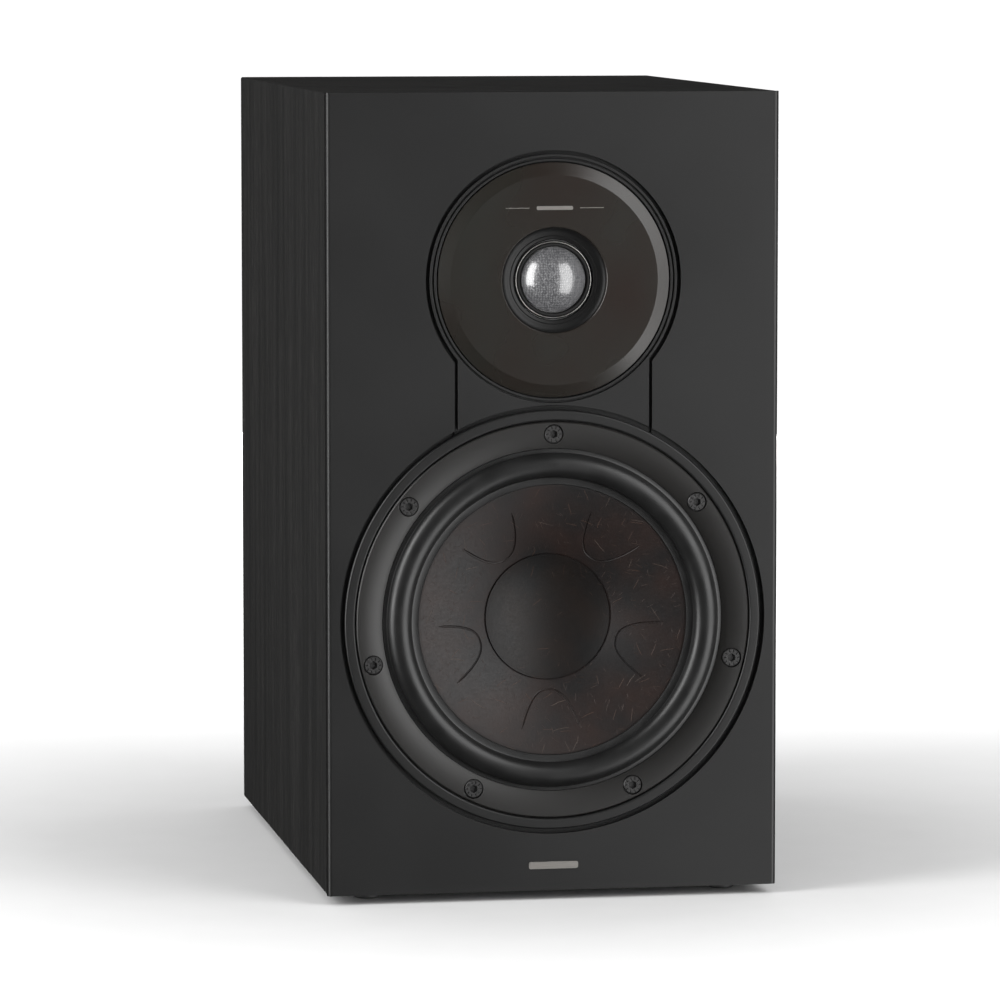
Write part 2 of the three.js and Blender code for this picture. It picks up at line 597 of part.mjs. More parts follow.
// Flared paper cone: steeper towards the neck, with a flat rim under the surround.
const coneRimDepth = surroundBack + FIT;
const coneEdge = CONE_RADIUS - CONE_LAND;
const neckRadius = formerOuter + FIT;
const neckDepth = coneRimDepth + CONE_DEPTH;
const flareMiddle = (coneEdge + neckRadius) / 2;
const coneCurve = (lift) => new THREE.QuadraticBezierCurve(
  new THREE.Vector2(coneEdge, coneRimDepth + lift),
  new THREE.Vector2(flareMiddle, coneRimDepth + CONE_EDGE_SLOPE * (coneEdge - flareMiddle) + lift),
  new THREE.Vector2(neckRadius, neckDepth + lift),
);
place('woofer_cone', turned([
  [CONE_RADIUS, coneRimDepth], ...along(coneCurve(0), FLARE_FACETS),
  ...along(coneCurve(CONE_THICKNESS), FLARE_FACETS).reverse(), [CONE_RADIUS, coneRimDepth + CONE_THICKNESS],
]), CONE_PAPER, woofer);

// Concave dust cap glued part of the way down the cone.
const capParameter = (coneEdge - DUST_CAP_RADIUS) / (coneEdge - neckRadius);
const capRimBack = coneCurve(0).getPoint(capParameter).y - FIT;
const capRimFront = capRimBack - DUST_CAP_THICKNESS;
const capSag = DUST_CAP_CURVE - Math.sqrt(DUST_CAP_CURVE ** 2 - DUST_CAP_RADIUS ** 2);
const capDepthAt = (radius) => {
  const fall = DUST_CAP_CURVE - Math.sqrt(DUST_CAP_CURVE ** 2 - radius ** 2);
  return capRimFront + capSag - fall;
};
const capRadii = [0, 0.4, 0.7, 1].map((share) => share * DUST_CAP_RADIUS);
place('woofer_dust_cap', turned([
  ...capRadii.map((radius) => [radius, capDepthAt(radius)]),
  ...[...capRadii].reverse().map((radius) => [radius, capDepthAt(radius) + DUST_CAP_THICKNESS]),
], LARGE_ROUND), CONE_PAPER, woofer);

// Voice coil: former and winding in one, centred on the top plate.
const gapMiddle = topPlateFront + TOP_PLATE_THICKNESS / 2;
const windingFront = gapMiddle - WINDING_LENGTH / 2;
const windingBack = gapMiddle + WINDING_LENGTH / 2;
place('woofer_voice_coil', turned([
  [COIL_RADIUS, neckDepth], [formerOuter, neckDepth], [formerOuter, windingFront],
  [windingOuter, windingFront], [windingOuter, windingBack], [COIL_RADIUS, windingBack],
], MEDIUM_ROUND), COPPER, woofer);

// Corrugated spider between the coil former and its ledge in the basket.
const spiderInner = formerOuter + FIT;
const spiderWaves = 6;
const spiderTop = Array.from({ length: spiderWaves + 1 }, (_, i) => {
  const radius = spiderInner + 1.5 + ((spiderLedgeInner - spiderInner - 2) * i) / spiderWaves;
  return [radius, SPIDER_DEPTH - (i % 2 ? SPIDER_WAVE : 0)];
});
place('woofer_spider', turned([
  [spiderInner, SPIDER_DEPTH], ...spiderTop, [spiderOuter, SPIDER_DEPTH],
  [spiderOuter, SPIDER_DEPTH + SPIDER_THICKNESS],
  ...[...spiderTop].reverse().map(([radius, depth]) => [radius, depth + SPIDER_THICKNESS]),
  [spiderInner, SPIDER_DEPTH + SPIDER_THICKNESS],
], MEDIUM_ROUND), SPIDER_CLOTH, woofer);

// Motor: top plate, ring magnet, and a yoke with the pole piece that the coil slides over.
place('woofer_top_plate', tube(
  windingOuter + COIL_CLEARANCE, TOP_PLATE_RADIUS, topPlateFront, topPlateBack,
), PLATED_STEEL, woofer);
place('woofer_magnet', tube(MAGNET_BORE, MAGNET_RADIUS, magnetFront, magnetBack), FERRITE, woofer);
const poleRadius = COIL_RADIUS - COIL_CLEARANCE;
place('woofer_yoke', turned([
  [0, topPlateFront], [poleRadius, topPlateFront], [poleRadius, yokeFront],
  [TOP_PLATE_RADIUS, yokeFront], [TOP_PLATE_RADIUS, yokeBack], [0, yokeBack],
], MEDIUM_ROUND), PLATED_STEEL, woofer);

// Terminal block beside the basket, between two windows.
const blockFront = spiderLedge + FIT;
const blockInner = basketRadius - basketTaper * (blockFront - ledgeBack) + FIT;
place('woofer_terminal_block', box(
  [-blockInner - TERMINAL_BLOCK[0], blockFront, -TERMINAL_BLOCK[2] / 2],
  [-blockInner, blockFront + TERMINAL_BLOCK[1], TERMINAL_BLOCK[2] / 2],
), BLACK_PLASTIC, woofer);

// ---------------------------------------------------------------- tweeter
const tweeter = groupAt(0, 0, tweeterHeight);

place('tweeter_faceplate', turned([
  [FACEPLATE_RADIUS, seatDepth], [FACEPLATE_RADIUS, FACEPLATE_EDGE_DEPTH],
  [FACEPLATE_RADIUS - FACEPLATE_BEVEL, -FACEPLATE_PROUD], [FUNNEL_MOUTH, -FACEPLATE_PROUD],
  [(FUNNEL_MOUTH + FUNNEL_THROAT) / 2, 0], [FUNNEL_THROAT, DOME_RIM_DEPTH], [FUNNEL_THROAT, seatDepth],
]), FRAME_PLASTIC, tweeter);

const domeRollInner = DOME_RADIUS + FIT;
const domeRollOuter = FUNNEL_THROAT - FIT;
const domeRollCentre = (domeRollInner + domeRollOuter) / 2;
const domeSurroundBack = tweeterPlateFront - FIT;
place('tweeter_surround', turned([
  [domeRollInner, domeSurroundBack - DOME_FOOT],
  ...along(new THREE.EllipseCurve(
    domeRollCentre, domeSurroundBack - DOME_FOOT, (domeRollOuter - domeRollInner) / 2 - FIT, DOME_ROLL_HEIGHT,
    Math.PI, 2 * Math.PI,
  ), 5),
  [domeRollOuter, domeSurroundBack - DOME_FOOT], [domeRollOuter, domeSurroundBack],
  [domeRollInner, domeSurroundBack],
], MEDIUM_ROUND), SURROUND_RUBBER, tweeter);

// Soft dome: a spherical cap whose rim sits behind the baffle face.
const domeCurve = (DOME_RADIUS ** 2 + DOME_HEIGHT ** 2) / (2 * DOME_HEIGHT);
const domeApex = DOME_RIM_DEPTH - DOME_HEIGHT;
const domePoint = (share, lift) => {
  const angle = share * Math.asin(DOME_RADIUS / domeCurve);
  return [domeCurve * Math.sin(angle), domeApex + lift + domeCurve * (1 - Math.cos(angle))];
};
const domeShares = [0, 0.25, 0.5, 0.75, 1];
place('tweeter_dome', turned([
  ...domeShares.map((share) => domePoint(share, 0)),
  ...[...domeShares].reverse().map((share) => domePoint(share, DOME_THICKNESS)),
], MEDIUM_ROUND), DOME_CLOTH, tweeter);

const domeCoilFront = DOME_RIM_DEPTH + DOME_THICKNESS + FIT;
place('tweeter_voice_coil', tube(
  DOME_COIL_RADIUS, domeCoilOuter, domeCoilFront, domeCoilFront + DOME_COIL_LENGTH,
), COPPER, tweeter);
place('tweeter_top_plate', tube(
  domeCoilOuter + DOME_COIL_CLEARANCE, TWEETER_PLATE_RADIUS, tweeterPlateFront, tweeterPlateBack,
), PLATED_STEEL, tweeter);
place('tweeter_magnet', tube(
  TWEETER_MAGNET_BORE, TWEETER_MAGNET_RADIUS, tweeterMagnetFront, tweeterMagnetBack,
), FERRITE, tweeter);
const tweeterPole = DOME_COIL_RADIUS - DOME_COIL_CLEARANCE;
place('tweeter_yoke', turned([
  [0, tweeterPlateFront], [tweeterPole, tweeterPlateFront], [tweeterPole, tweeterYokeFront],
  [TWEETER_PLATE_RADIUS, tweeterYokeFront], [TWEETER_PLATE_RADIUS, tweeterYokeBack], [0, tweeterYokeBack],
], MEDIUM_ROUND), PLATED_STEEL, tweeter);

// ---------------------------------------------------------------- reflex port
const port = groupAt(0, CABINET_DEPTH + FIT, PORT_HEIGHT);
const portFlare = new THREE.EllipseCurve(
  PORT_RADIUS + PORT_FLARE, PORT_FLANGE_THICKNESS - PORT_FLARE * 2, PORT_FLARE, PORT_FLARE * 2,
  Math.PI / 2, Math.PI,
);
place('port_tube', turned([
  [PORT_FLANGE_RADIUS, 0], [PORT_FLANGE_RADIUS, PORT_FLANGE_THICKNESS - EDGE_CHAMFER],
  [PORT_FLANGE_RADIUS - EDGE_CHAMFER, PORT_FLANGE_THICKNESS], ...along(portFlare, FLARE_FACETS),
  [PORT_RADIUS, -PORT_LENGTH], [portOuter, -PORT_LENGTH], [portOuter, portCollarBack],
  [portCollar, portCollarBack], [portCollar, 0],
], MEDIUM_ROUND), BLACK_PLASTIC, port);

// ---------------------------------------------------------------- terminal cup
const terminals = groupAt(0, 0, TERMINAL_HEIGHT);
const postPlaces = { red: POST_SPACING / 2, black: -POST_SPACING / 2 };
const cupBlank = joined([
  plate(rectangle(cupFlangeWidth, cupFlangeHeight, CUP_CORNER), cupFlangeFront, CUP_WALL, 3),
  plate(rectangle(cupBodyWidth, cupBodyHeight), cupFloor - CUP_WALL, CUP_RECESS),
]);
place('terminal_cup', cut(cupBlank, [
  plate(rectangle(CUP_WIDTH, CUP_HEIGHT), cupFloor, CUP_RECESS + 1),
  ...Object.values(postPlaces).map((x) => movedTo(
    rod(POST_RADIUS + FIT, cupFloor - CUP_WALL - 1, cupFloor + 1), x, 0, 0,
  )),
  ...cupScrewPlaces.map(([x, z]) => movedTo(
    rod(CUP_SCREW_SHANK_RADIUS + FIT, cupFlangeFront - 1, cupFace + 1), x, 0, z,
  )),
]), BLACK_PLASTIC, terminals);

const cupScrewHead = cupFace + FIT;
const cupScrew = turned([
  [0, cupScrewHead + CUP_SCREW_HEAD_HEIGHT],
  [CUP_SCREW_HEAD_RADIUS / 2, cupScrewHead + CUP_SCREW_HEAD_HEIGHT],
  [CUP_SCREW_HEAD_RADIUS, cupScrewHead + CUP_SCREW_HEAD_HEIGHT / 2], [CUP_SCREW_HEAD_RADIUS, cupScrewHead],
  [CUP_SCREW_SHANK_RADIUS, cupScrewHead],
  [CUP_SCREW_SHANK_RADIUS, cupScrewHead + SCREW_POINT - CUP_SCREW_LENGTH],
  [0, cupScrewHead - CUP_SCREW_LENGTH],
], SMALL_ROUND);
cupScrewPlaces.forEach(([x, z], i) => {
  const mesh = place(`terminal_screw_${i + 1}`, cupScrew, BLACK_STEEL, terminals);
  mesh.position.set(x, 0, z);
});

// Binding post: tail and nut inside, collar on the cup's floor, and a threaded tube with a socket.
const postTail = cupFloor - CUP_WALL - POST_INNER_LENGTH;
const nutBack = cupFloor - CUP_WALL - FIT;
const postEnd = knobBack + POST_STICK_OUT;
const postGeometry = turned([
  [0, postTail], [POST_RADIUS, postTail], [POST_RADIUS, nutBack - POST_NUT_HEIGHT],
  [POST_NUT_RADIUS, nutBack - POST_NUT_HEIGHT], [POST_NUT_RADIUS, nutBack], [POST_RADIUS, nutBack],
  [POST_RADIUS, cupFloor + FIT], [POST_COLLAR_RADIUS, cupFloor + FIT],
  [POST_COLLAR_RADIUS, cupFloor + POST_COLLAR_HEIGHT], [POST_RADIUS, cupFloor + POST_COLLAR_HEIGHT],
  [POST_RADIUS, postEnd], [POST_SOCKET_RADIUS, postEnd], [POST_SOCKET_RADIUS, postEnd - POST_SOCKET_DEPTH],
  [0, postEnd - POST_SOCKET_DEPTH],
], SMALL_ROUND);
const washerGeometry = tube(
  POST_RADIUS + KNOB_CLEARANCE, WASHER_RADIUS, washerFront, washerFront + WASHER_THICKNESS, SMALL_ROUND,
);
const knobBlank = turned([
  [POST_RADIUS + KNOB_CLEARANCE, knobFront], [KNOB_RADIUS, knobFront], [KNOB_RADIUS, knobBack - 1],
  [KNOB_RADIUS - 1, knobBack], [POST_RADIUS + KNOB_CLEARANCE, knobBack],
], MEDIUM_ROUND);
const flutes = Array.from({ length: KNOB_FLUTES }, (_, i) => {
  const angle = ((i + 0.5) * 2 * Math.PI) / KNOB_FLUTES;
  const reach = KNOB_RADIUS + KNOB_FLUTE_RADIUS - KNOB_FLUTE_DEPTH;
  const flute = rod(KNOB_FLUTE_RADIUS, knobFront + KNOB_SKIRT, knobBack + 1, 6);
  return movedTo(flute, reach * Math.cos(angle), 0, reach * Math.sin(angle));
});
const knobGeometry = cut(knobBlank, flutes);
const knobPlastic = { red: RED_PLASTIC, black: BLACK_PLASTIC };
Object.entries(postPlaces).forEach(([colour, x]) => {
  place(`${colour}_post`, postGeometry, GOLD_PLATE, terminals).position.set(x, 0, 0);
  place(`${colour}_washer`, washerGeometry, GOLD_PLATE, terminals).position.set(x, 0, 0);
  place(`${colour}_knob`, knobGeometry, knobPlastic[colour], terminals).position.set(x, 0, 0);
});

// ---------------------------------------------------------------- crossover
place('crossover_board', box(
  [-BOARD_WIDTH / 2, boardFront, PANEL_THICKNESS + FIT],
  [BOARD_WIDTH / 2, boardBack, boardTop],
), BOARD_LAMINATE);
const onBoard = groupAt(0, boardFront, boardTop + FIT);

const COILS = {
  woofer_inductor: { bore: 9, radius: 19, height: 16, x: -26, y: 22 },
  tweeter_inductor: { bore: 6, radius: 12, height: 11, x: 32, y: 16 },
};
Object.entries(COILS).forEach(([name, coil]) => {
  const winding = tube(coil.bore, coil.radius, 0, coil.height).rotateX(Math.PI / 2);
  place(name, winding, COPPER, onBoard).position.set(coil.x, coil.y, 0);
});

const CAPACITORS = {
  capacitor_large: { radius: 8, length: 34, x: -38, y: 60 },
  capacitor_small: { radius: 5.5, length: 24, x: 12, y: 62 },
};
Object.entries(CAPACITORS).forEach(([name, { radius, length, x, y }]) => {
  const barrel = turned([
    [0, 0], [radius - 1, 0], [radius, 1], [radius, length - 1], [radius - 1, length], [0, length],
  ], SMALL_ROUND).rotateZ(-Math.PI / 2);
  place(name, barrel, CAPACITOR_FILM, onBoard).position.set(x, y, radius);
});
place('power_resistor', box([10, 38, 0], [32, 47, 9]), CERAMIC, onBoard);

// ---------------------------------------------------------------- internal leads
function lead(name, points, material) {
  const stations = points.map((point) => new THREE.Vector3(...point));
  const route = new THREE.CatmullRomCurve3(stations, false, 'centripetal');
  const section = new THREE.Shape().absarc(0, 0, LEAD_RADIUS, 0, 2 * Math.PI);
  const steps = Math.round(route.getLength() / (3 * 2 * LEAD_RADIUS));
  place(name, new THREE.ExtrudeGeometry(section, {
    steps, extrudePath: route, bevelEnabled: false, curveSegments: 4,
  }), material);
}
const blockBack = blockFront + TERMINAL_BLOCK[1] + FIT;
const blockX = -blockInner - TERMINAL_BLOCK[0] / 2;
const braceBack = BRACE_FRONT + BRACE_THICKNESS;
const boardLanding = boardTop + 1;

lead('woofer_lead', [
  [blockX, blockBack, wooferHeight], [blockX, blockBack + 14, wooferHeight - 1],
  [blockX + 8, BRACE_FRONT - 46, wooferHeight - 12], [-38, BRACE_FRONT - 8, lowerWindow - 16],
  [-34, braceBack + 8, lowerWindow - 28], [-20, boardFront - 12, boardTop + 34],
  [-4, boardFront + 8, boardTop + 12], [-2, boardFront + 12, boardTop + 5],
  [-2, boardFront + 12, boardLanding],
], LEAD_RED);
lead('tweeter_lead', [
  [24, tweeterYokeBack + FIT, tweeterHeight], [25, tweeterYokeBack + 12, tweeterHeight - 2],
  [36, tweeterYokeBack + 34, tweeterHeight - 12], [40, BRACE_FRONT - 16, upperWindow - 22],
  [40, braceBack + 8, upperWindow - 34], [42, boardFront - 10, lowerWindow + 30],
  [44, boardFront + 4, boardTop + 40], [38, boardFront + 32, boardTop + 18],
  [38, boardFront + 36, boardTop + 6],
  [38, boardFront + 36, boardLanding],
], LEAD_BLACK);
Object.entries({ red: LEAD_RED, black: LEAD_BLACK }).forEach(([colour, material]) => {
  const x = postPlaces[colour];
  const side = Math.sign(x);
  lead(`input_lead_${colour}`, [
    [x, postTail - FIT, TERMINAL_HEIGHT], [x, postTail - 8, TERMINAL_HEIGHT - 2],
    [x + side * 3, postTail - 16, TERMINAL_HEIGHT - 22], [x + side * 14, postTail - 14, TERMINAL_HEIGHT - 48],
    [side * 42, boardBack - 8, boardTop + 14], [side * 42, boardBack - 5, boardTop + 5],
    [side * 42, boardBack - 5, boardLanding],
  ], material);
});

// ---------------------------------------------------------------- the whole speaker
// Origin on the floor, under the middle of the whole depth from the dome's apex to the posts' ends.
speaker.position.set(0, -(domeApex + postEnd) / 2, FOOT_HEIGHT);
const group = new THREE.Group();
group.add(speaker);

export default group;
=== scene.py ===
from math import asin, cos, hypot, pi, radians, sin, sqrt, tau

import bmesh
import bpy
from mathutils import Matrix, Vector


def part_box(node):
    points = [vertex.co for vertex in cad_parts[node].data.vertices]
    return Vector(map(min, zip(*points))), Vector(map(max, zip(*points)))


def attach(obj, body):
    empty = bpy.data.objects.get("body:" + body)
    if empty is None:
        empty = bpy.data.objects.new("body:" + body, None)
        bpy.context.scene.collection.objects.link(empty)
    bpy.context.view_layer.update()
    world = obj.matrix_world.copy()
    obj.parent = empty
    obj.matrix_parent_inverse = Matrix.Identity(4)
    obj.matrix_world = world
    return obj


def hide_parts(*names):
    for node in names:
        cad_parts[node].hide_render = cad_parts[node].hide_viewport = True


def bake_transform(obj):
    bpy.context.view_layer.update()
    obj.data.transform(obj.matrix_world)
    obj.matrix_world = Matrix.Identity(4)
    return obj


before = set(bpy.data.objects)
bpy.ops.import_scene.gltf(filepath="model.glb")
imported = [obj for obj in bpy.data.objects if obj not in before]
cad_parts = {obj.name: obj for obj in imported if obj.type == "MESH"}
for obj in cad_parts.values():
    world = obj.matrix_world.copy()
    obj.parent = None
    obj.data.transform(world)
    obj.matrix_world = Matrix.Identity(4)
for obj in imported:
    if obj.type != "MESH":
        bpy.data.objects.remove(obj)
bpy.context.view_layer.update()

# ------------------------------------------------------------------ camera
# A long lens on a tripod, 2.5 m in front of the loudspeaker and a little to its left. It stands
# just above the top of the box and is tilted down, so the side and the top show.
CAMERA_PLACE = (-0.436, -2.5344, 0.4183)
CAMERA_TILT, CAMERA_TURN = 5.69, 9.8       # degrees down, and to the right
CAMERA_LENS = 201.1

bpy.ops.object.select_all(action="DESELECT")
bpy.ops.object.camera_add(
    location=CAMERA_PLACE, rotation=(radians(90 - CAMERA_TILT), 0, radians(-CAMERA_TURN))
)
camera = bpy.context.object
camera.name = "camera"
camera.data.lens = CAMERA_LENS
camera.data.sensor_width = 36
bpy.context.scene.camera = camera

# ------------------------------------------------------------------ studio
# A white sweep of paper, its colour painted greyer near the box as a painted shadow, under a wide
# overhead bank, with a tall softbox to the right, a narrower one to the left and a low one behind. The
# paper gives off no gloss.
FLOOR_SIZE = 60
# Painted shadow: the second pair of greys darkens the paper's colour close to the box, and fades out
# between the two distances below.
PAPER_WHITE, PAPER_FAR, PAPER_PAINTED_SHADE = "#f4f4f4", "#fcfcfc", ("#c8c8c8", "#cccccc")
PAPER_REACH = (0.2, 0.65)                  # metres from the box, from near to far
PAPER_FLECK = 30                           # millimetres, a faint cloud in the paper
PAPER_GLOW, PAPER_GLOW_REACH = 0.12, (1.2, 3.0)
BANKS = {                                  # turn in degrees; metres off, up, wide, tall; watts
    "right_bank": (41, 2.0, 0.4, 1.4, 3.2, 66),
    "left_bank": (-66, 2.0, 0.9, 0.9, 2.4, 62),
    "rear_bank": (168, 2.2, 0.12, 0.9, 0.4, 14),
}
OVERHEAD_STRENGTH, OVERHEAD_SPREAD = 3.0, 160
ROOM_GLOW, ROOM_WHITE = 0.004, 2.0
bpy.context.scene.view_settings.view_transform = "Standard"


def linear(code):
    """A six-figure sRGB colour as linear red, green, blue and alpha."""
    parts = [int(code[i:i + 2], 16) / 255 for i in (1, 3, 5)]
    return (*((c / 12.92 if c <= 0.04045 else ((c + 0.055) / 1.055) ** 2.4) for c in parts), 1)


def node(tree, kind, inputs=None, out=0, into=None, **settings):
    """Adds a node, whose inputs are sockets to link or values to set, and gives its output."""
    made = tree.nodes.new(kind)
    for name, value in settings.items():
        setattr(made, name, value)
    for socket, value in (inputs or {}).items():
        if isinstance(value, bpy.types.NodeSocket):
            tree.links.new(value, made.inputs[socket])
        else:
            made.inputs[socket].default_value = value
    if into:
        tree.links.new(made.outputs[out], into)
    return made.outputs[out]


def material(name, colour, **sockets):
    """A new material of one Principled shader, with its node tree and shader."""
    made = bpy.data.materials.new(name)
    made.use_nodes = True
    shader = made.node_tree.nodes["Principled BSDF"]
    shader.inputs["Base Color"].default_value = linear(colour)
    for socket, value in sockets.items():
        shader.inputs[socket.replace("_", " ")].default_value = value
    return made, made.node_tree, shader


def wear(piece, made):
    """Gives the piece one material in place of any that it has."""
    piece.data.materials.clear()
    piece.data.materials.append(made)


bpy.ops.mesh.primitive_plane_add(size=FLOOR_SIZE, location=(0, 0, 0))
floor = bpy.context.object
floor.name = "studio_floor"
floor.visible_glossy = False
floor.visible_shadow = False
paper, paper_tree, paper_shader = material(
    "background_paper", PAPER_WHITE, Roughness=0.9, Specular_IOR_Level=0
)
paper_place = node(paper_tree, "ShaderNodeTexCoord", out="Object")
paper_fleck = node(paper_tree, "ShaderNodeTexNoise", {
    "Vector": paper_place, "Scale": 1000 / PAPER_FLECK,
}, "Fac")
paper_reach = node(
    paper_tree, "ShaderNodeVectorMath", {0: paper_place}, "Value", operation="LENGTH"
)
# Painted shadow: the paper's colour runs from the darker near greys to the far white with distance from
# the box.
paper_share = node(paper_tree, "ShaderNodeMapRange", {
    "Value": paper_reach, "From Min": PAPER_REACH[0], "From Max": PAPER_REACH[1],
})
paper_painted_shade = node(paper_tree, "ShaderNodeMix", {
    0: paper_fleck, 6: linear(PAPER_PAINTED_SHADE[0]), 7: linear(PAPER_PAINTED_SHADE[1]),
}, 2, data_type="RGBA")
node(paper_tree, "ShaderNodeMix", {
    0: paper_share, 6: paper_painted_shade, 7: linear(PAPER_FAR),
}, 2, paper_shader.inputs["Base Color"], data_type="RGBA")
# Far off, the paper is a little brighter, so that its edge melts into the room.
paper_shader.inputs["Emission Color"].default_value = linear("#ffffff")
node(paper_tree, "ShaderNodeMapRange", {
    "Value": paper_reach, "From Min": PAPER_GLOW_REACH[0], "From Max": PAPER_GLOW_REACH[1],
    "To Max": PAPER_GLOW,
}, into=paper_shader.inputs["Emission Strength"])
wear(floor, paper)

for bank_name, (turn, distance, rise, width, height, watts) in BANKS.items():
    bpy.ops.object.light_add(
        type="AREA", rotation=(pi / 2, 0, radians(turn)),
        location=(distance * sin(radians(turn)), -distance * cos(radians(turn)), rise),
    )
    bank = bpy.context.object
    bank.name = bank_name
    bank.data.shape = "RECTANGLE"
    bank.data.size, bank.data.size_y, bank.data.energy = width, height, watts

bpy.ops.object.light_add(type="SUN", location=(0, 0, 3))
overhead = bpy.context.object
overhead.name = "overhead_bank"
overhead.data.energy = OVERHEAD_STRENGTH
overhead.data.angle = radians(OVERHEAD_SPREAD)
overhead.visible_glossy = False

# The room is white where the camera sees past the paper, and dark for everything that it lights.
room = bpy.data.worlds.new("studio_room")
bpy.context.scene.world = room
room.use_nodes = True
seen = node(room.node_tree, "ShaderNodeLightPath", out="Is Camera Ray")
node(room.node_tree, "ShaderNodeMix", {
    0: seen, 6: (ROOM_GLOW,) * 3 + (1,), 7: (ROOM_WHITE,) * 3 + (1,),
}, 2, room.node_tree.nodes["Background"].inputs["Color"], data_type="RGBA")

# ------------------------------------------------------------------ cabinet wrap
# The sides, top and bottom are one board of 15 mm fibreboard wrapped in black ash vinyl, folded
# at three mitres and glued at the fourth, so its outer corners are slightly round.
WIDTH, HEIGHT, DEPTH = 200, 350, 292       # millimetres
PANEL = 15
WRAP_FRONT = 4.4                           # behind the baffle's lip and its seam
FOLD_RADIUS = 1.0
PORE_WIDTH, PORE_LENGTH, PORE_DEPTH = 0.5, 16.0, 0.12      # pressed pores of the ash print
FIGURE_WIDTH, FIGURE_LENGTH = 7.0, 160.0   # broader bands of the grain
MM = 0.001

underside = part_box("front_baffle")[0].z
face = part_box("front_baffle")[0].y


def at(x, y, z):
    """A point given from the middle of the baffle's lower edge, in millimetres."""
    return Vector((x * MM, face + y * MM, underside + z * MM))


def block(name, low, high):
    """A block between two corners in millimetres, left selected and active."""
    bpy.ops.object.select_all(action="DESELECT")
    middle = (at(*low) + at(*high)) / 2
    size = [(b - a) * MM for a, b in zip(low, high)]
    bpy.ops.mesh.primitive_cube_add(size=1, location=middle, scale=size)
    piece = bpy.context.object
    piece.name = piece.data.name = name
    bpy.ops.object.transform_apply(location=True, rotation=True, scale=True)
    return piece


def pick(piece, kind, wanted):
    """Selects the faces or edges that wanted(centre, direction) says yes to, in edit mode."""
    bpy.ops.mesh.select_mode(type=kind)
    bpy.ops.mesh.select_all(action="DESELECT")
    shape = bmesh.from_edit_mesh(piece.data)
    if kind == "FACE":
        for f in shape.faces:
            f.select_set(bool(wanted(f.calc_center_median(), f.normal)))
    else:
        for e in shape.edges:
            first, last = (v.co for v in e.verts)
            if wanted((first + last) / 2, (last - first).normalized()):
                e.select_set(True)
    bmesh.update_edit_mesh(piece.data)


def choose(piece):
    """Makes the piece the only one selected, and the active one."""
    bpy.ops.object.select_all(action="DESELECT")
    piece.select_set(True)
    bpy.context.view_layer.objects.active = piece


def applied(piece, kind, **settings):
    """Adds a modifier to the piece and applies it."""
    choose(piece)
    bpy.ops.object.modifier_add(type=kind)
    modifier = piece.modifiers[-1]
    for name, value in settings.items():
        setattr(modifier, name, value)
    bpy.ops.object.modifier_apply(modifier=modifier.name)
    return piece


def smooth(piece, angle=35):
    """Shades the piece smooth, except across edges sharper than the angle in degrees."""
    choose(piece)
    bpy.ops.object.shade_smooth_by_angle(angle=radians(angle))
    return piece


def copied(piece, name):
    """A copy of the piece with its own mesh."""
    choose(piece)
    bpy.ops.object.duplicate()
    copy = bpy.context.object
    copy.name = copy.data.name = name
    return copy


def rides(piece, body, slot, *nodes):
    """Fixes the piece to a body, in place of the nodes it stands for. The slot is not used."""
    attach(piece, body)
    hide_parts(*nodes)


wrap = block("cabinet_wrap", (-WIDTH / 2, WRAP_FRONT, 0), (WIDTH / 2, DEPTH, HEIGHT))
bpy.ops.object.mode_set(mode="EDIT")
pick(wrap, "FACE", lambda centre, normal: abs(normal.y) > 0.9)
bpy.ops.mesh.inset(thickness=PANEL * MM)
bpy.ops.mesh.bridge_edge_loops()
pick(wrap, "EDGE", lambda centre, way: abs(way.y) > 0.9 and abs(centre.x) > WIDTH / 2 * MM - 0.0001)
bpy.ops.mesh.bevel(offset=FOLD_RADIUS * MM, segments=5, affect="EDGES")
bpy.ops.object.mode_set(mode="OBJECT")


def ash_vinyl(name, along):
    """Black PVC foil printed and pressed like ash: satin, with fine open pores along the grain."""
    made, tree, shader = material(name, "#191918", Roughness=0.5)
    place = node(tree, "ShaderNodeTexCoord", out="Object")
    patterns = []
    for width, length, detail, low, high in (
        (PORE_WIDTH, PORE_LENGTH, 2, 0.42, 0.62), (FIGURE_WIDTH, FIGURE_LENGTH, 4, 0.36, 0.66),
    ):
        drawn = node(tree, "ShaderNodeMapping", {
            "Vector": place, "Scale": [1000 / (length if way == along else width) for way in "XYZ"],
        })
        fine = node(tree, "ShaderNodeTexNoise", {
            "Vector": drawn, "Scale": 1, "Detail": detail,
        }, "Fac")
        patterns.append(node(tree, "ShaderNodeMapRange", {
            "Value": fine, "From Min": low, "From Max": high,
        }))
    pores, figure = patterns
    tone = node(tree, "ShaderNodeMix", {
        0: figure, 6: linear("#171716"), 7: linear("#2a2928"),
    }, 2, data_type="RGBA")
    node(tree, "ShaderNodeMix", {
        0: pores, 6: linear("#0e0e0e"), 7: tone,
    }, 2, shader.inputs["Base Color"], data_type="RGBA")
    node(tree, "ShaderNodeMapRange", {
        "Value": pores, "To Min": 0.68, "To Max": 0.46,
    }, into=shader.inputs["Roughness"])
    node(tree, "ShaderNodeBump", {
        "Height": pores, "Distance": PORE_DEPTH * MM, "Strength": 0.6,
    }, into=shader.inputs["Normal"])
    return made


vinyl_upright = ash_vinyl("black_ash_vinyl_upright", "Z")
vinyl_across = ash_vinyl("black_ash_vinyl_across", "X")

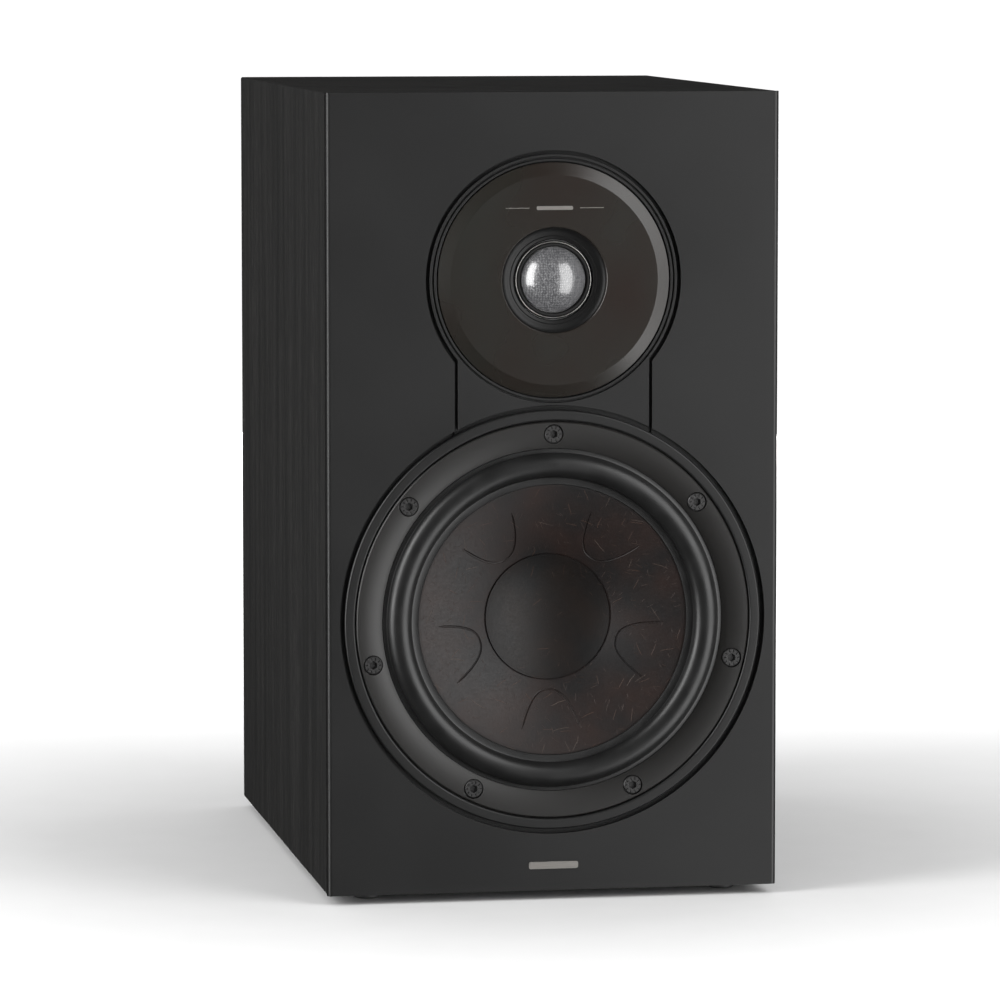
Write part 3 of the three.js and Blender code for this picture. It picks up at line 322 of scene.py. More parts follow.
PANELS = {                                 # two mitre planes each, whose far sides are cut away
    "left_side_panel": ((-1, 1, (1, 0, 1)), (-1, 0, (1, 0, -1)), vinyl_upright),
    "right_side_panel": ((1, 1, (-1, 0, 1)), (1, 0, (-1, 0, -1)), vinyl_upright),
    "top_panel": ((-1, 1, (-1, 0, -1)), (1, 1, (1, 0, -1)), vinyl_across),
    "bottom_panel": ((-1, 0, (-1, 0, 1)), (1, 0, (1, 0, 1)), vinyl_across),
}
for panel_name, (first_mitre, last_mitre, foil) in PANELS.items():
    panel = copied(wrap, panel_name + "_wrapped")
    bpy.ops.object.mode_set(mode="EDIT")
    for side, top, away in (first_mitre, last_mitre):
        bpy.ops.mesh.select_all(action="SELECT")
        bpy.ops.mesh.bisect(
            plane_co=at(side * WIDTH / 2, 0, top * HEIGHT), plane_no=away,
            use_fill=True, clear_outer=True,
        )
    bpy.ops.object.mode_set(mode="OBJECT")
    smooth(panel, 30)
    wear(panel, foil)
    rides(panel, "root", "ash_vinyl", panel_name)
bpy.data.objects.remove(wrap)

# ------------------------------------------------------------------ rear panel
# Fibreboard in the same vinyl, let in between the four panels, and sawn and drilled for the port,
# the terminal cup and the cup's screws.
REAR_FRONT = DEPTH - PANEL
REAR_GAP = 0.3
PORT_Z, PORT_HOLE = 265, 32.1
CUP_Z, CUP_HOLE = 95, (66.6, 46.6)
CUP_SCREWS, CUP_SCREW_HOLE = [(x, z) for x in (-40, 40) for z in (-30, 30)], 1.9
PAST = 1                                   # how far a cutter reaches past what it cuts


def round_cornered(piece, corner, segments):
    """Rounds a block's four edges that run along the depth, by millimetres."""
    bpy.ops.object.mode_set(mode="EDIT")
    pick(piece, "EDGE", lambda centre, way: abs(way.y) > 0.9)
    bpy.ops.mesh.bevel(offset=corner * MM, segments=segments, affect="EDGES")
    bpy.ops.object.mode_set(mode="OBJECT")
    return piece


def carved(piece, tool, operation="DIFFERENCE"):
    """Cuts the tool out of the piece, or joins it on, and throws the tool away."""
    applied(piece, "BOOLEAN", object=tool, operation=operation, solver="EXACT")
    bpy.data.objects.remove(tool)
    return piece


def rod(radius, front, back, x, z, sides=96):
    """A cutter: a round bar along the depth, in millimetres."""
    bpy.ops.object.select_all(action="DESELECT")
    bpy.ops.mesh.primitive_cylinder_add(
        vertices=sides, radius=radius * MM, depth=(back - front) * MM,
        location=at(x, (front + back) / 2, z), rotation=(pi / 2, 0, 0),
    )
    bpy.ops.object.transform_apply(location=True, rotation=True, scale=True)
    return bpy.context.object


def bar(size, place, turn):
    """A cutter: a block of a size in millimetres, turned about the depth at a place."""
    bpy.ops.object.select_all(action="DESELECT")
    bpy.ops.mesh.primitive_cube_add(
        size=1, location=place, rotation=(0, -turn, 0), scale=[side * MM for side in size]
    )
    bpy.ops.object.transform_apply(location=True, rotation=True, scale=True)
    return bpy.context.object


def softened(piece, width, segments=3, angle=40):
    """Rounds the piece's edges by width millimetres, and evens the shading of its flat faces."""
    applied(
        piece, "BEVEL", width=width * MM, segments=segments, limit_method="ANGLE",
        angle_limit=radians(angle), harden_normals=False,
    )
    smooth(piece, angle)
    return applied(piece, "WEIGHTED_NORMAL", keep_sharp=True)


inner_half = WIDTH / 2 - PANEL - REAR_GAP
rear = block(
    "rear_panel_board", (-inner_half, REAR_FRONT, PANEL + REAR_GAP),
    (inner_half, DEPTH, HEIGHT - PANEL - REAR_GAP),
)
carved(rear, rod(PORT_HOLE, REAR_FRONT - PAST, DEPTH + PAST, 0, PORT_Z))
carved(rear, block(
    "cup_hole", (-CUP_HOLE[0] / 2, REAR_FRONT - PAST, CUP_Z - CUP_HOLE[1] / 2),
    (CUP_HOLE[0] / 2, DEPTH + PAST, CUP_Z + CUP_HOLE[1] / 2),
))
for x, z in CUP_SCREWS:
    carved(rear, rod(CUP_SCREW_HOLE, REAR_FRONT - PAST, DEPTH + PAST, x, CUP_Z + z, 24))
softened(rear, 0.3)
wear(rear, vinyl_upright)
rides(rear, "root", "ash_vinyl", "rear_panel")

# ------------------------------------------------------------------ front baffle
# One piece of fibreboard, machined with a keyhole-shaped rebate for the drivers, its upright
# edges rounded, then sprayed with satin black lacquer. A plug on its back fits inside the box.
LIP, PLUG = 4, 16
EDGE_ROUND = 2
REBATE = 3
WOOFER_Z, TWEETER_Z = 119.4, 268.4
WOOFER_REBATE, TWEETER_REBATE, NECK_REBATE = 94.3, 56.4, 43.7
WOOFER_HOLE, TWEETER_HOLE = 76.3, 38.0
NECK_LOW, NECK_HIGH = WOOFER_Z + 60, TWEETER_Z - 20        # inside the two round rebates
SCREW_CIRCLE, SCREWS, SCREW_HOLE = 81.7, 7, 2.2
screw_places = [
    (SCREW_CIRCLE * cos(pi / 2 + i * tau / SCREWS), SCREW_CIRCLE * sin(pi / 2 + i * tau / SCREWS))
    for i in range(SCREWS)
]

baffle = block("front_baffle_lacquered", (-WIDTH / 2, 0, 0), (WIDTH / 2, LIP, HEIGHT))
bpy.ops.object.mode_set(mode="EDIT")
pick(baffle, "FACE", lambda centre, normal: normal.y > 0.9)
bpy.ops.mesh.inset(thickness=(PANEL + REAR_GAP) * MM)
bpy.ops.mesh.extrude_region_move(TRANSFORM_OT_translate={"value": (0, PLUG * MM, 0)})
pick(baffle, "EDGE", lambda centre, way: abs(way.z) > 0.9 and centre.y < face + 0.1 * MM)
bpy.ops.mesh.bevel(offset=EDGE_ROUND * MM, segments=8, affect="EDGES")
bpy.ops.object.mode_set(mode="OBJECT")
carved(baffle, rod(WOOFER_REBATE, -PAST, REBATE, 0, WOOFER_Z, 192))
carved(baffle, rod(TWEETER_REBATE, -PAST, REBATE, 0, TWEETER_Z, 160))
carved(baffle, block(
    "neck_cutter", (-NECK_REBATE, -PAST, NECK_LOW), (NECK_REBATE, REBATE, NECK_HIGH)
))
carved(baffle, rod(WOOFER_HOLE, -PAST, LIP + PLUG + PAST, 0, WOOFER_Z, 160))
carved(baffle, rod(TWEETER_HOLE, -PAST, LIP + PLUG + PAST, 0, TWEETER_Z))
for x, z in screw_places:
    carved(baffle, rod(SCREW_HOLE, 0, LIP + PLUG + PAST, x, WOOFER_Z + z, 24))
softened(baffle, 0.35)


def mottled(name, tones, patch, dullness, relief, stretch=(1, 1, 1), detail=3, **sockets):
    """A finish that drifts between two tones and two roughnesses over patches of a size, with a
    relief of a size, depth and strength pressed in it. Sizes and depths are in millimetres."""
    made, tree, shader = material(name, tones[0], **sockets)
    place = node(tree, "ShaderNodeTexCoord", out="Object")
    patterns = []
    for size in (patch, relief[0]):
        drawn = node(tree, "ShaderNodeMapping", {
            "Vector": place, "Scale": [1000 / (size * longer) for longer in stretch],
        })
        patterns.append(node(tree, "ShaderNodeTexNoise", {
            "Vector": drawn, "Scale": 1, "Detail": detail,
        }, "Fac"))
    drift, pressed = patterns
    node(tree, "ShaderNodeMix", {
        0: drift, 6: linear(tones[0]), 7: linear(tones[1]),
    }, 2, shader.inputs["Base Color"], data_type="RGBA")
    node(tree, "ShaderNodeMapRange", {
        "Value": drift, "From Min": 0.3, "From Max": 0.7,
        "To Min": dullness[0], "To Max": dullness[1],
    }, into=shader.inputs["Roughness"])
    node(tree, "ShaderNodeBump", {
        "Height": pressed, "Distance": relief[1] / 1000, "Strength": relief[2],
    }, into=shader.inputs["Normal"])
    return made


# Satin lacquer over a sanded ground: nearly even, with a fine orange peel.
lacquer = mottled(
    "satin_black_lacquer", ("#111111", "#141414"), 60, (0.37, 0.42), (0.6, 0.02, 0.5), detail=2,
    Specular_IOR_Level=0.36,
)
wear(baffle, lacquer)
rides(baffle, "root", "baffle_paint", "front_baffle")

# ------------------------------------------------------------------ trims in the rebate
# The bezel and the trim ring are moulded ABS, painted like the baffle and pressed into its rebate.
# A fine step runs round the bezel's inner edge.
TRIM_BACK = 2.7
BEZEL_OUTER, BEZEL_INNER = 54.7, 51.7
BEZEL_STEP = (52.7, 53.6, 1.3)             # inner and outer radius, and depth
NECK_TRIM = 42.3
RING_INNER, RING_OUTER, RING_CHAMFER = 87.6, 92.3, 0.6


def turned(name, profile, centre, steps=128, axis=(0, 1, 0)):
    """Draws half a section, [radius, depth] in millimetres, point by point, and spins it round.
    A section that doesn't start on the axis is closed back to its first point."""
    along = Vector(axis)
    out = Vector((1, 0, 0))
    points = list(profile) + ([profile[0]] if profile[0][0] > 0 else [])
    places = [centre + out * r * MM + along * d * MM for r, d in points]
    bpy.ops.object.select_all(action="DESELECT")
    bpy.ops.mesh.primitive_plane_add(size=0.0001, location=places[0])
    piece = bpy.context.object
    piece.name = piece.data.name = name
    bpy.ops.object.transform_apply(location=True, rotation=True, scale=True)
    bpy.ops.object.mode_set(mode="EDIT")
    bpy.ops.mesh.select_mode(type="VERT")
    bpy.ops.mesh.select_all(action="SELECT")
    bpy.ops.mesh.merge(type="CENTER")
    for before, after in zip(places, places[1:]):
        bpy.ops.mesh.extrude_region_move(TRANSFORM_OT_translate={"value": after - before})
    bpy.ops.mesh.select_all(action="SELECT")
    bpy.ops.mesh.spin(steps=steps, angle=tau, center=centre, axis=along)
    bpy.ops.mesh.select_all(action="SELECT")
    bpy.ops.mesh.remove_doubles(threshold=0.000002)
    bpy.ops.mesh.normals_make_consistent(inside=False)
    bpy.ops.object.mode_set(mode="OBJECT")
    return piece


def arc(centre_r, centre_d, radius_r, radius_d, start, end, count):
    """Points of an ellipse's arc, for a section. 0 degrees is outwards and -90 to the front."""
    return [
        (centre_r + radius_r * cos(radians(start + (end - start) * i / count)),
         centre_d + radius_d * sin(radians(start + (end - start) * i / count)))
        for i in range(count + 1)
    ]


woofer = at(0, 0, WOOFER_Z)
tweeter = at(0, 0, TWEETER_Z)

bezel = rod(BEZEL_OUTER, 0, TRIM_BACK, 0, TWEETER_Z, 160)
bezel.name = bezel.data.name = "tweeter_bezel_trim"
carved(bezel, block(
    "neck", (-NECK_TRIM, 0, NECK_LOW), (NECK_TRIM, TRIM_BACK, TWEETER_Z)
), "UNION")
carved(bezel, rod(BEZEL_INNER, -PAST, REBATE + PAST, 0, TWEETER_Z, 160))
carved(bezel, rod(WOOFER_REBATE, -PAST, REBATE + PAST, 0, WOOFER_Z, 192))
carved(bezel, turned("step_cutter", [
    (BEZEL_STEP[0], -PAST), (BEZEL_STEP[1], -PAST), (BEZEL_STEP[1], BEZEL_STEP[2]),
    (BEZEL_STEP[0], BEZEL_STEP[2]),
], tweeter, 160))
softened(bezel, 0.2)
wear(bezel, lacquer)
rides(bezel, "root", "baffle_paint", "tweeter_bezel")

ring = turned("woofer_trim_ring_moulded", [
    (RING_INNER, TRIM_BACK), (RING_INNER, RING_CHAMFER), (RING_INNER + RING_CHAMFER, 0),
    (RING_OUTER - RING_CHAMFER, 0), (RING_OUTER, RING_CHAMFER), (RING_OUTER, TRIM_BACK),
], woofer, 192)
softened(ring, 0.25, 2, 20)
wear(ring, lacquer)
rides(ring, "root", "baffle_paint", "woofer_trim_ring")

# ------------------------------------------------------------------ bass driver's frame
# A moulded frame of glass-filled plastic. Its flange dishes towards the cone and has a
# counterbore for each screw, and six windows let the air out of the basket behind.
FLANGE_OUTER, FLANGE_INNER, FLANGE_CORNER = 87.1, 75.5, 0.5
DISH_DEPTH, DISH_CURVE, DISH_STEPS = 1.7, 2.2, 12
LEDGE_FRONT, LEDGE_BACK, LEDGE_INNER = 2.6, 5.6, 70.6
BASKET_OUTER, BASKET_BASE, BASKET_BACK, BASKET_WALL = 76.0, 54.0, 55.0, 3
BASKET_BORE, SPIDER_LEDGE_IN, SPIDER_LEDGE_Y = 26.2, 48.7, 35.9
SEAT_RADIUS, SEAT_DEPTH = 4.35, 2.2
WINDOWS, WINDOW_MIDDLE, WINDOW_DEPTH, WINDOW_WIDTH = 6, 20.8, 20.5, 46
dish = [
    (FLANGE_INNER + (FLANGE_OUTER - FLANGE_CORNER - FLANGE_INNER) * i / DISH_STEPS,
     DISH_DEPTH * (1 - i / DISH_STEPS) ** DISH_CURVE)
    for i in range(DISH_STEPS + 1)
]
spider_seat = BASKET_OUTER - (BASKET_OUTER - BASKET_BASE) * (
    SPIDER_LEDGE_Y - LEDGE_BACK) / (BASKET_BACK - LEDGE_BACK) - BASKET_WALL
basket = turned("woofer_frame_moulded", [
    *reversed(dish), (FLANGE_INNER, LEDGE_FRONT), (LEDGE_INNER, LEDGE_FRONT),
    (LEDGE_INNER, LEDGE_BACK), (spider_seat, SPIDER_LEDGE_Y), (SPIDER_LEDGE_IN, SPIDER_LEDGE_Y),
    (SPIDER_LEDGE_IN, BASKET_BACK - BASKET_WALL), (BASKET_BORE, BASKET_BACK - BASKET_WALL),
    (BASKET_BORE, BASKET_BACK), (BASKET_BASE, BASKET_BACK), (BASKET_OUTER, LEDGE_BACK),
    (BASKET_OUTER, TRIM_BACK), (FLANGE_OUTER, TRIM_BACK), (FLANGE_OUTER, FLANGE_CORNER),
], woofer, 168)
for i in range(WINDOWS // 2):
    turn = (i + 0.5) * tau / WINDOWS
    window = bar((WIDTH, WINDOW_DEPTH, WINDOW_WIDTH), at(0, WINDOW_MIDDLE, WOOFER_Z), turn)
    carved(window, rod(SPIDER_LEDGE_IN, 0, WINDOW_MIDDLE * 2, 0, WOOFER_Z))
    carved(basket, window)
for x, z in screw_places:
    carved(basket, rod(SEAT_RADIUS, -PAST, SEAT_DEPTH, x, WOOFER_Z + z, 48))
    carved(basket, rod(SCREW_HOLE, 0, REBATE + PAST, x, WOOFER_Z + z, 24))
softened(basket, 0.22, 2, 30)

# Glass-filled nylon from an etched mould: satin black, with a fine even texture.
nylon = mottled(
    "moulded_black_nylon", ("#121110", "#171615"), 0.5, (0.36, 0.46), (0.5, 0.03, 0.5), detail=4,
    Specular_IOR_Level=0.42,
)
wear(basket, nylon)
rides(basket, "root", "frame_plastic", "woofer_frame")

# ------------------------------------------------------------------ bass driver's screws
# Seven socket-head screws of blackened steel, sunk level with the flange. Short radial
# marks are rolled into each head round its hexagon socket.
HEAD_RADIUS, HEAD_FRONT, HEAD_BACK = 4.05, 0.3, 2.2
HEAD_CORNER, SHANK_RADIUS, SCREW_END, SCREW_POINT = 0.5, 1.9, 16.3, 1.5
SOCKET_RADIUS, SOCKET_END = 1.9, 1.95
HEAD_MARKS, MARK_RADIUS, MARK_LEAN = 10, 2.95, 0.25
MARK_SIZE = (1.2, 1.2, 0.36)
first_x, first_z = screw_places[0]
screw = turned("screw_head", [
    (0, HEAD_FRONT), (HEAD_RADIUS - HEAD_CORNER, HEAD_FRONT),
    (HEAD_RADIUS, HEAD_FRONT + HEAD_CORNER), (HEAD_RADIUS, HEAD_BACK), (SHANK_RADIUS, HEAD_BACK),
    (SHANK_RADIUS, SCREW_END - SCREW_POINT),
    (0, SCREW_END),
], at(first_x, 0, WOOFER_Z + first_z), 48)
carved(screw, rod(SOCKET_RADIUS, -PAST, SOCKET_END, first_x, WOOFER_Z + first_z, 6))
for i in range(HEAD_MARKS):
    turn = i * tau / HEAD_MARKS
    mark = at(
        first_x + MARK_RADIUS * cos(turn), HEAD_FRONT,
        WOOFER_Z + first_z + MARK_RADIUS * sin(turn),
    )
    carved(screw, bar(MARK_SIZE, mark, turn + MARK_LEAN))
softened(screw, 0.12, 2, 35)

# Carbon steel with a black oxide: dark, half dull, with brighter flecks where it is handled.
oxide = mottled(
    "black_oxide_steel", ("#1b1b1b", "#313030"), 0.8, (0.5, 0.38), (0.8, 0.01, 0.3), detail=4,
    Metallic=0.35,
)
wear(screw, oxide)


def driven(pattern, name, across, up):
    """A copy of a screw, moved across and up by millimetres, in place of the node of its name."""
    copy = copied(pattern, name + "_blackened")
    bpy.ops.object.mode_set(mode="EDIT")
    bpy.ops.mesh.select_all(action="SELECT")
    bpy.ops.transform.translate(value=(across * MM, 0, up * MM))
    bpy.ops.object.mode_set(mode="OBJECT")
    rides(copy, "root", "black_steel", name)


for i, (x, z) in enumerate(screw_places, 1):
    driven(screw, f"woofer_screw_{i}", x - first_x, z - first_z)
bpy.data.objects.remove(screw)

# ------------------------------------------------------------------ bass driver's surround
# A half-roll of moulded butyl rubber, glued outside to the frame's ledge and inside to the rim of the
# cone.
FOOT_OUTER, ROLL_OUTER, ROLL_INNER, LAND_INNER = 75.2, 73.6, 62.6, 59.5
FLAT_FRONT, RUBBER = 1.5, 0.8
ROLL_HEIGHT = 5.0
roll_middle, roll_half = (ROLL_OUTER + ROLL_INNER) / 2, (ROLL_OUTER - ROLL_INNER) / 2


def flexes(piece):
    """Bakes the piece's placing into its mesh."""
    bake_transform(piece)


surround = turned("woofer_surround_rubber", [
    (FOOT_OUTER, FLAT_FRONT), (ROLL_OUTER + 0.4, FLAT_FRONT),
    *arc(roll_middle, FLAT_FRONT - 0.2, roll_half, ROLL_HEIGHT - 0.2, 0, -180, 28),
    (ROLL_INNER - 0.5, FLAT_FRONT), (LAND_INNER + 0.2, FLAT_FRONT), (LAND_INNER, FLAT_FRONT + 0.25),
    (LAND_INNER, FLAT_FRONT + RUBBER), (ROLL_INNER, FLAT_FRONT + RUBBER),
    *arc(roll_middle, FLAT_FRONT + RUBBER, roll_half - RUBBER, ROLL_HEIGHT - RUBBER, -180, 0, 20),
    (FOOT_OUTER, FLAT_FRONT + RUBBER),
], woofer, 192)
smooth(surround, 50)

# Butyl rubber from a polished mould: dark and satin, with a faint bloom.
butyl = mottled(
    "butyl_rubber", ("#0e0e0e", "#141414"), 9, (0.34, 0.42), (0.5, 0.01, 0.4),
    Specular_IOR_Level=0.4,
)
wear(surround, butyl)
flexes(surround)
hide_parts("woofer_surround")

# ------------------------------------------------------------------ bass driver's cone
# Pressed from paper pulp with coarse wood fibres in it, then dyed. Five arches are pressed into
# its face to stiffen it, and a concave cap of the same pulp closes its neck.
CONE_RIM, CONE_EDGE, CONE_FRONT, CONE_PAPER = 62.6, 59.5, 2.6, 1.0
NECK_RADIUS, CONE_DEPTH, EDGE_SLOPE = 16.7, 19.6, 0.26
ARCHES = 5
ARCH_APEX, ARCH_FOOT, ARCH_SPREAD = 32.0, 48.5, 13.2
ARCH_CURVE, ARCH_FLARE, ARCH_STEPS = 1.9, 0.8, 12
ARCH_LINE, ARCH_SINK, ARCH_TAPER = 0.55, 0.05, 0.25
CAP_RADIUS, CAP_RIM, CAP_CURVE, CAP_PAPER = 27.6, 14.73, 60.0, 0.5
STAIN_SIZE, FELT_SIZE, SWAY_SIZE = 24, 1.1, 9              # millimetres
FIBRE_LAYERS = (                           # cell, half length and width in cells, share, tint, seed
    (2.6, 0.42, 0.05, 0.3, "#241a15", 0), (10.0, 0.4, 0.009, 0.35, "#3f352e", 31),
    (7.0, 0.42, 0.012, 0.4, "#3c2a20", 67), (4.5, 0.4, 0.018, 0.3, "#30241e", 13),
)


def cone_point(share, lift=0.0):
    """A point of the cone's flared section, from its edge at 0 to its neck at 1."""
    middle = (CONE_EDGE + NECK_RADIUS) / 2
    slope = EDGE_SLOPE * (CONE_EDGE - middle)
    first, second, third = (1 - share) ** 2, 2 * share * (1 - share), share ** 2
    radius = first * CONE_EDGE + second * middle + third * NECK_RADIUS
    depth = second * slope + third * CONE_DEPTH
    return radius, CONE_FRONT + depth + lift


def cone_depth(radius):
    """How deep the face of the cone lies at a radius, in millimetres."""
    share = (CONE_EDGE - radius) / (CONE_EDGE - NECK_RADIUS)
    return cone_point(share)[1]


cone = turned("woofer_cone_pulp", [
    (CONE_RIM, CONE_FRONT), *(cone_point(i / 28) for i in range(29)),
    *(cone_point(1 - i / 14, CONE_PAPER) for i in range(15)), (CONE_RIM, CONE_FRONT + CONE_PAPER),
], woofer, 160)
for i in range(ARCHES):
    turn = radians(-90 + i * 360 / ARCHES)
    path = []
    for j in range(-ARCH_STEPS, ARCH_STEPS + 1):
        spread = j / ARCH_STEPS
        out = ARCH_APEX + (ARCH_FOOT - ARCH_APEX) * abs(spread) ** ARCH_CURVE
        across = ARCH_SPREAD * (abs(spread) ** ARCH_FLARE) * (1 if spread > 0 else -1)
        radius = hypot(out, across)
        path.append(at(
            out * cos(turn) - across * sin(turn), cone_depth(radius) - ARCH_SINK,
            WOOFER_Z + out * sin(turn) + across * cos(turn),
        ))
    bpy.ops.object.select_all(action="DESELECT")
    bpy.ops.curve.primitive_nurbs_path_add()
    line = bpy.context.object
    line.data.splines.clear()
    stroke = line.data.splines.new("POLY")
    stroke.points.add(len(path) - 1)
    for point, place in zip(stroke.points, path):
        point.co = (*place, 1)
    stroke.points[0].radius = stroke.points[-1].radius = ARCH_TAPER
    line.data.bevel_depth = ARCH_LINE * MM
    line.data.bevel_resolution = 2
    line.data.use_fill_caps = True
    choose(line)
    bpy.ops.object.convert(target="MESH")
    carved(cone, bpy.context.object)
smooth(cone, 30)

cap_sag = CAP_CURVE - sqrt(CAP_CURVE ** 2 - CAP_RADIUS ** 2)
cap_front = [
    (CAP_RADIUS * i / 24,
     CAP_RIM + cap_sag - (CAP_CURVE - sqrt(CAP_CURVE ** 2 - (CAP_RADIUS * i / 24) ** 2)))
    for i in range(25)
]
cap = turned("woofer_dust_cap_pulp", [
    *cap_front, *((r, d + CAP_PAPER) for r, d in reversed(cap_front))
], woofer, 128)
smooth(cap, 40)


def pulp(name, dark, warm, fibre_share, depth, shine):
    """Dyed paper pulp: a brown-black felt with paler, warmer wood fibres lying in its face."""
    made, tree, shader = material(name, dark, Specular_IOR_Level=shine)
    place = node(tree, "ShaderNodeTexCoord", out="Object")
    stain = node(tree, "ShaderNodeTexNoise", {
        "Vector": place, "Scale": 1000 / STAIN_SIZE, "Detail": 3,
    }, "Fac")
    patches = node(tree, "ShaderNodeMapRange", {"Value": stain, "From Min": 0.36, "From Max": 0.66})
    colour = node(tree, "ShaderNodeMix", {
        0: patches, 6: linear(dark), 7: linear(warm),
    }, 2, data_type="RGBA")
    felt = node(tree, "ShaderNodeTexNoise", {
        "Vector": place, "Scale": 1000 / FELT_SIZE, "Detail": 5,
    }, "Fac")
    sway = node(tree, "ShaderNodeTexNoise", {
        "Vector": place, "Scale": 1000 / SWAY_SIZE, "Detail": 1,
    }, "Color")
    sway = node(
        tree, "ShaderNodeVectorMath", {0: sway, 1: (0.3, 0.3, 0)}, operation="MULTIPLY"
    )
    fibres = 0.0
    # Each layer strews one straight hair in each cell of a pattern, turned at random, then bent.
    for cell, length, width, share, tint, seed in FIBRE_LAYERS:
        flat = node(tree, "ShaderNodeMapping", {
            "Vector": place, "Rotation": (pi / 2, 0, 0), "Scale": (1000 / cell,) * 3,
            "Location": (seed, seed / 3, 0),
        })
        bent = node(tree, "ShaderNodeVectorMath", {0: flat, 1: sway})
        luck = node(tree, "ShaderNodeTexVoronoi", {
            "Vector": bent, "Scale": 1,
        }, "Color", voronoi_dimensions="2D")
        cells = luck.node.outputs["Position"]
        here = node(tree, "ShaderNodeVectorMath", {0: bent, 1: cells}, operation="SUBTRACT")
        draw = node(tree, "ShaderNodeSeparateColor", {0: luck})
        angle = node(tree, "ShaderNodeMath", {0: draw, 1: tau}, operation="MULTIPLY")
        aimed = node(tree, "ShaderNodeVectorRotate", {
            "Vector": here, "Angle": angle,
        }, rotation_type="Z_AXIS")
        along = node(tree, "ShaderNodeSeparateXYZ", {0: aimed})
        across = node(tree, "ShaderNodeMath", {0: along.node.outputs[1]}, operation="ABSOLUTE")
        along = node(tree, "ShaderNodeMath", {0: along}, operation="ABSOLUTE")
        hair = node(tree, "ShaderNodeMapRange", {
            "Value": across, "From Min": width * 0.4, "From Max": width, "To Min": 1, "To Max": 0,
        })
        ends = node(tree, "ShaderNodeMapRange", {
            "Value": along, "From Min": length * 0.7, "From Max": length, "To Min": 1, "To Max": 0,
        })
        there = node(tree, "ShaderNodeMapRange", {
            "Value": draw.node.outputs[1], "From Min": 1 - share * fibre_share,
            "From Max": 1.05 - share * fibre_share,
        })
        hair = node(tree, "ShaderNodeMath", {0: hair, 1: ends}, operation="MULTIPLY")
        hair = node(tree, "ShaderNodeMath", {0: hair, 1: there}, operation="MULTIPLY")
        colour = node(tree, "ShaderNodeMix", {
            0: hair, 6: colour, 7: linear(tint),
        }, 2, data_type="RGBA")
        fibres = node(tree, "ShaderNodeMath", {0: fibres, 1: hair}, operation="MAXIMUM")
    tree.links.new(colour, shader.inputs["Base Color"])
    node(tree, "ShaderNodeMapRange", {
        "Value": felt, "From Min": 0.3, "From Max": 0.7, "To Min": 0.42, "To Max": 0.54,
    }, into=shader.inputs["Roughness"])
    relief = node(tree, "ShaderNodeMath", {0: felt, 1: fibres}, operation="ADD")
    node(tree, "ShaderNodeBump", {
        "Height": relief, "Distance": depth / 1000, "Strength": 0.5,
    }, into=shader.inputs["Normal"])
    return made


wear(cone, pulp("wood_fibre_pulp", "#121010", "#1d1310", 0.7, 0.08, 0.28))
wear(cap, pulp("fine_fibre_pulp", "#0e0d0d", "#150f0c", 0.2, 0.05, 0.22))
rides(cone, "woofer_moving", "cone_paper", "woofer_cone")
rides(cap, "woofer_moving", "cone_paper", "woofer_dust_cap")

# ------------------------------------------------------------------ tweeter's faceplate
# Moulded with a bevelled edge and a funnel that leads to the dome, then sprayed a warm satin
# black. It drops into the bezel from the front.
PLATE_RADIUS, PLATE_EDGE, PLATE_FLAT, PLATE_FRONT = 51.1, 0.5, 45.7, -2.0
MOUTH, STEP_RADIUS, THROAT = 23.1, 19.6, 17.5
plate = turned("tweeter_faceplate_sprayed", [
    (PLATE_RADIUS, TRIM_BACK), (PLATE_RADIUS, PLATE_EDGE), (PLATE_FLAT, PLATE_FRONT),
    (MOUTH + 0.3, PLATE_FRONT), (MOUTH, PLATE_FRONT + 0.25),
    *arc(STEP_RADIUS, PLATE_FRONT + 0.3, MOUTH - STEP_RADIUS, 2.4, 0, 80, 10),
    (STEP_RADIUS - 0.2, 0.9), (STEP_RADIUS - 0.5, 0.6), (THROAT + 0.4, 1.0), (THROAT, 1.4),
    (THROAT, TRIM_BACK),
], tweeter, 160)
softened(plate, 0.12, 2, 22)

sprayed = mottled(
    "warm_satin_black_spray", ("#1f1512", "#141916"), 45, (0.24, 0.3), (0.35, 0.01, 0.4), detail=2,
    Specular_IOR_Level=0.42,
)
wear(plate, sprayed)
# The funnel's faces get a near-black finish of their own: painted shade, standing in for the shadow
# deep in the bowl.
funnel_shade_finish = mottled(
    "funnel_painted_shade", ("#060606", "#0b0b0b"), 0.5, (0.4, 0.5), (0.5, 0.01, 0.4),
    Specular_IOR_Level=0.26,
)
plate.data.materials.append(funnel_shade_finish)
# Painted shade: the faces inside the funnel's mouth take the near-black finish.
for polygon in plate.data.polygons:
    if hypot(polygon.center.x, polygon.center.z - tweeter.z) < (MOUTH - 0.1) * MM:
        polygon.material_index = 1
rides(plate, "root", "frame_plastic", "tweeter_faceplate")

# ------------------------------------------------------------------ tweeter's dome
# A soft dome of woven cloth, pressed to shape and coated grey, on a narrow roll of the same
# butyl rubber. A thin polished ring holds the roll down.
DOME_RADIUS, DOME_RIM, DOME_HEIGHT, DOME_CLOTH = 14.1, 1.8, 7.5, 0.4
ROLL_IN, ROLL_OUT, TWEETER_FOOT, TWEETER_SEAT = 14.4, 17.2, 2.3, 2.7
ROLL_EDGE, ROLL_CREST, CREST_HALF, CREST_HEIGHT = 16.2, 15.35, 0.75, 1.0
RING_MIDDLE, RING_WIRE, RING_DEPTH = 16.5, 0.24, 1.7
THREAD = 0.55                              # coarser than the real 0.2 mm, so that it shows
dome_curve = (DOME_RADIUS ** 2 + DOME_HEIGHT ** 2) / (2 * DOME_HEIGHT)
dome_angle = asin(DOME_RADIUS / dome_curve)
dome_front = [
    (dome_curve * sin(dome_angle * i / 24),
     DOME_RIM - DOME_HEIGHT + dome_curve * (1 - cos(dome_angle * i / 24)))
    for i in range(25)
]
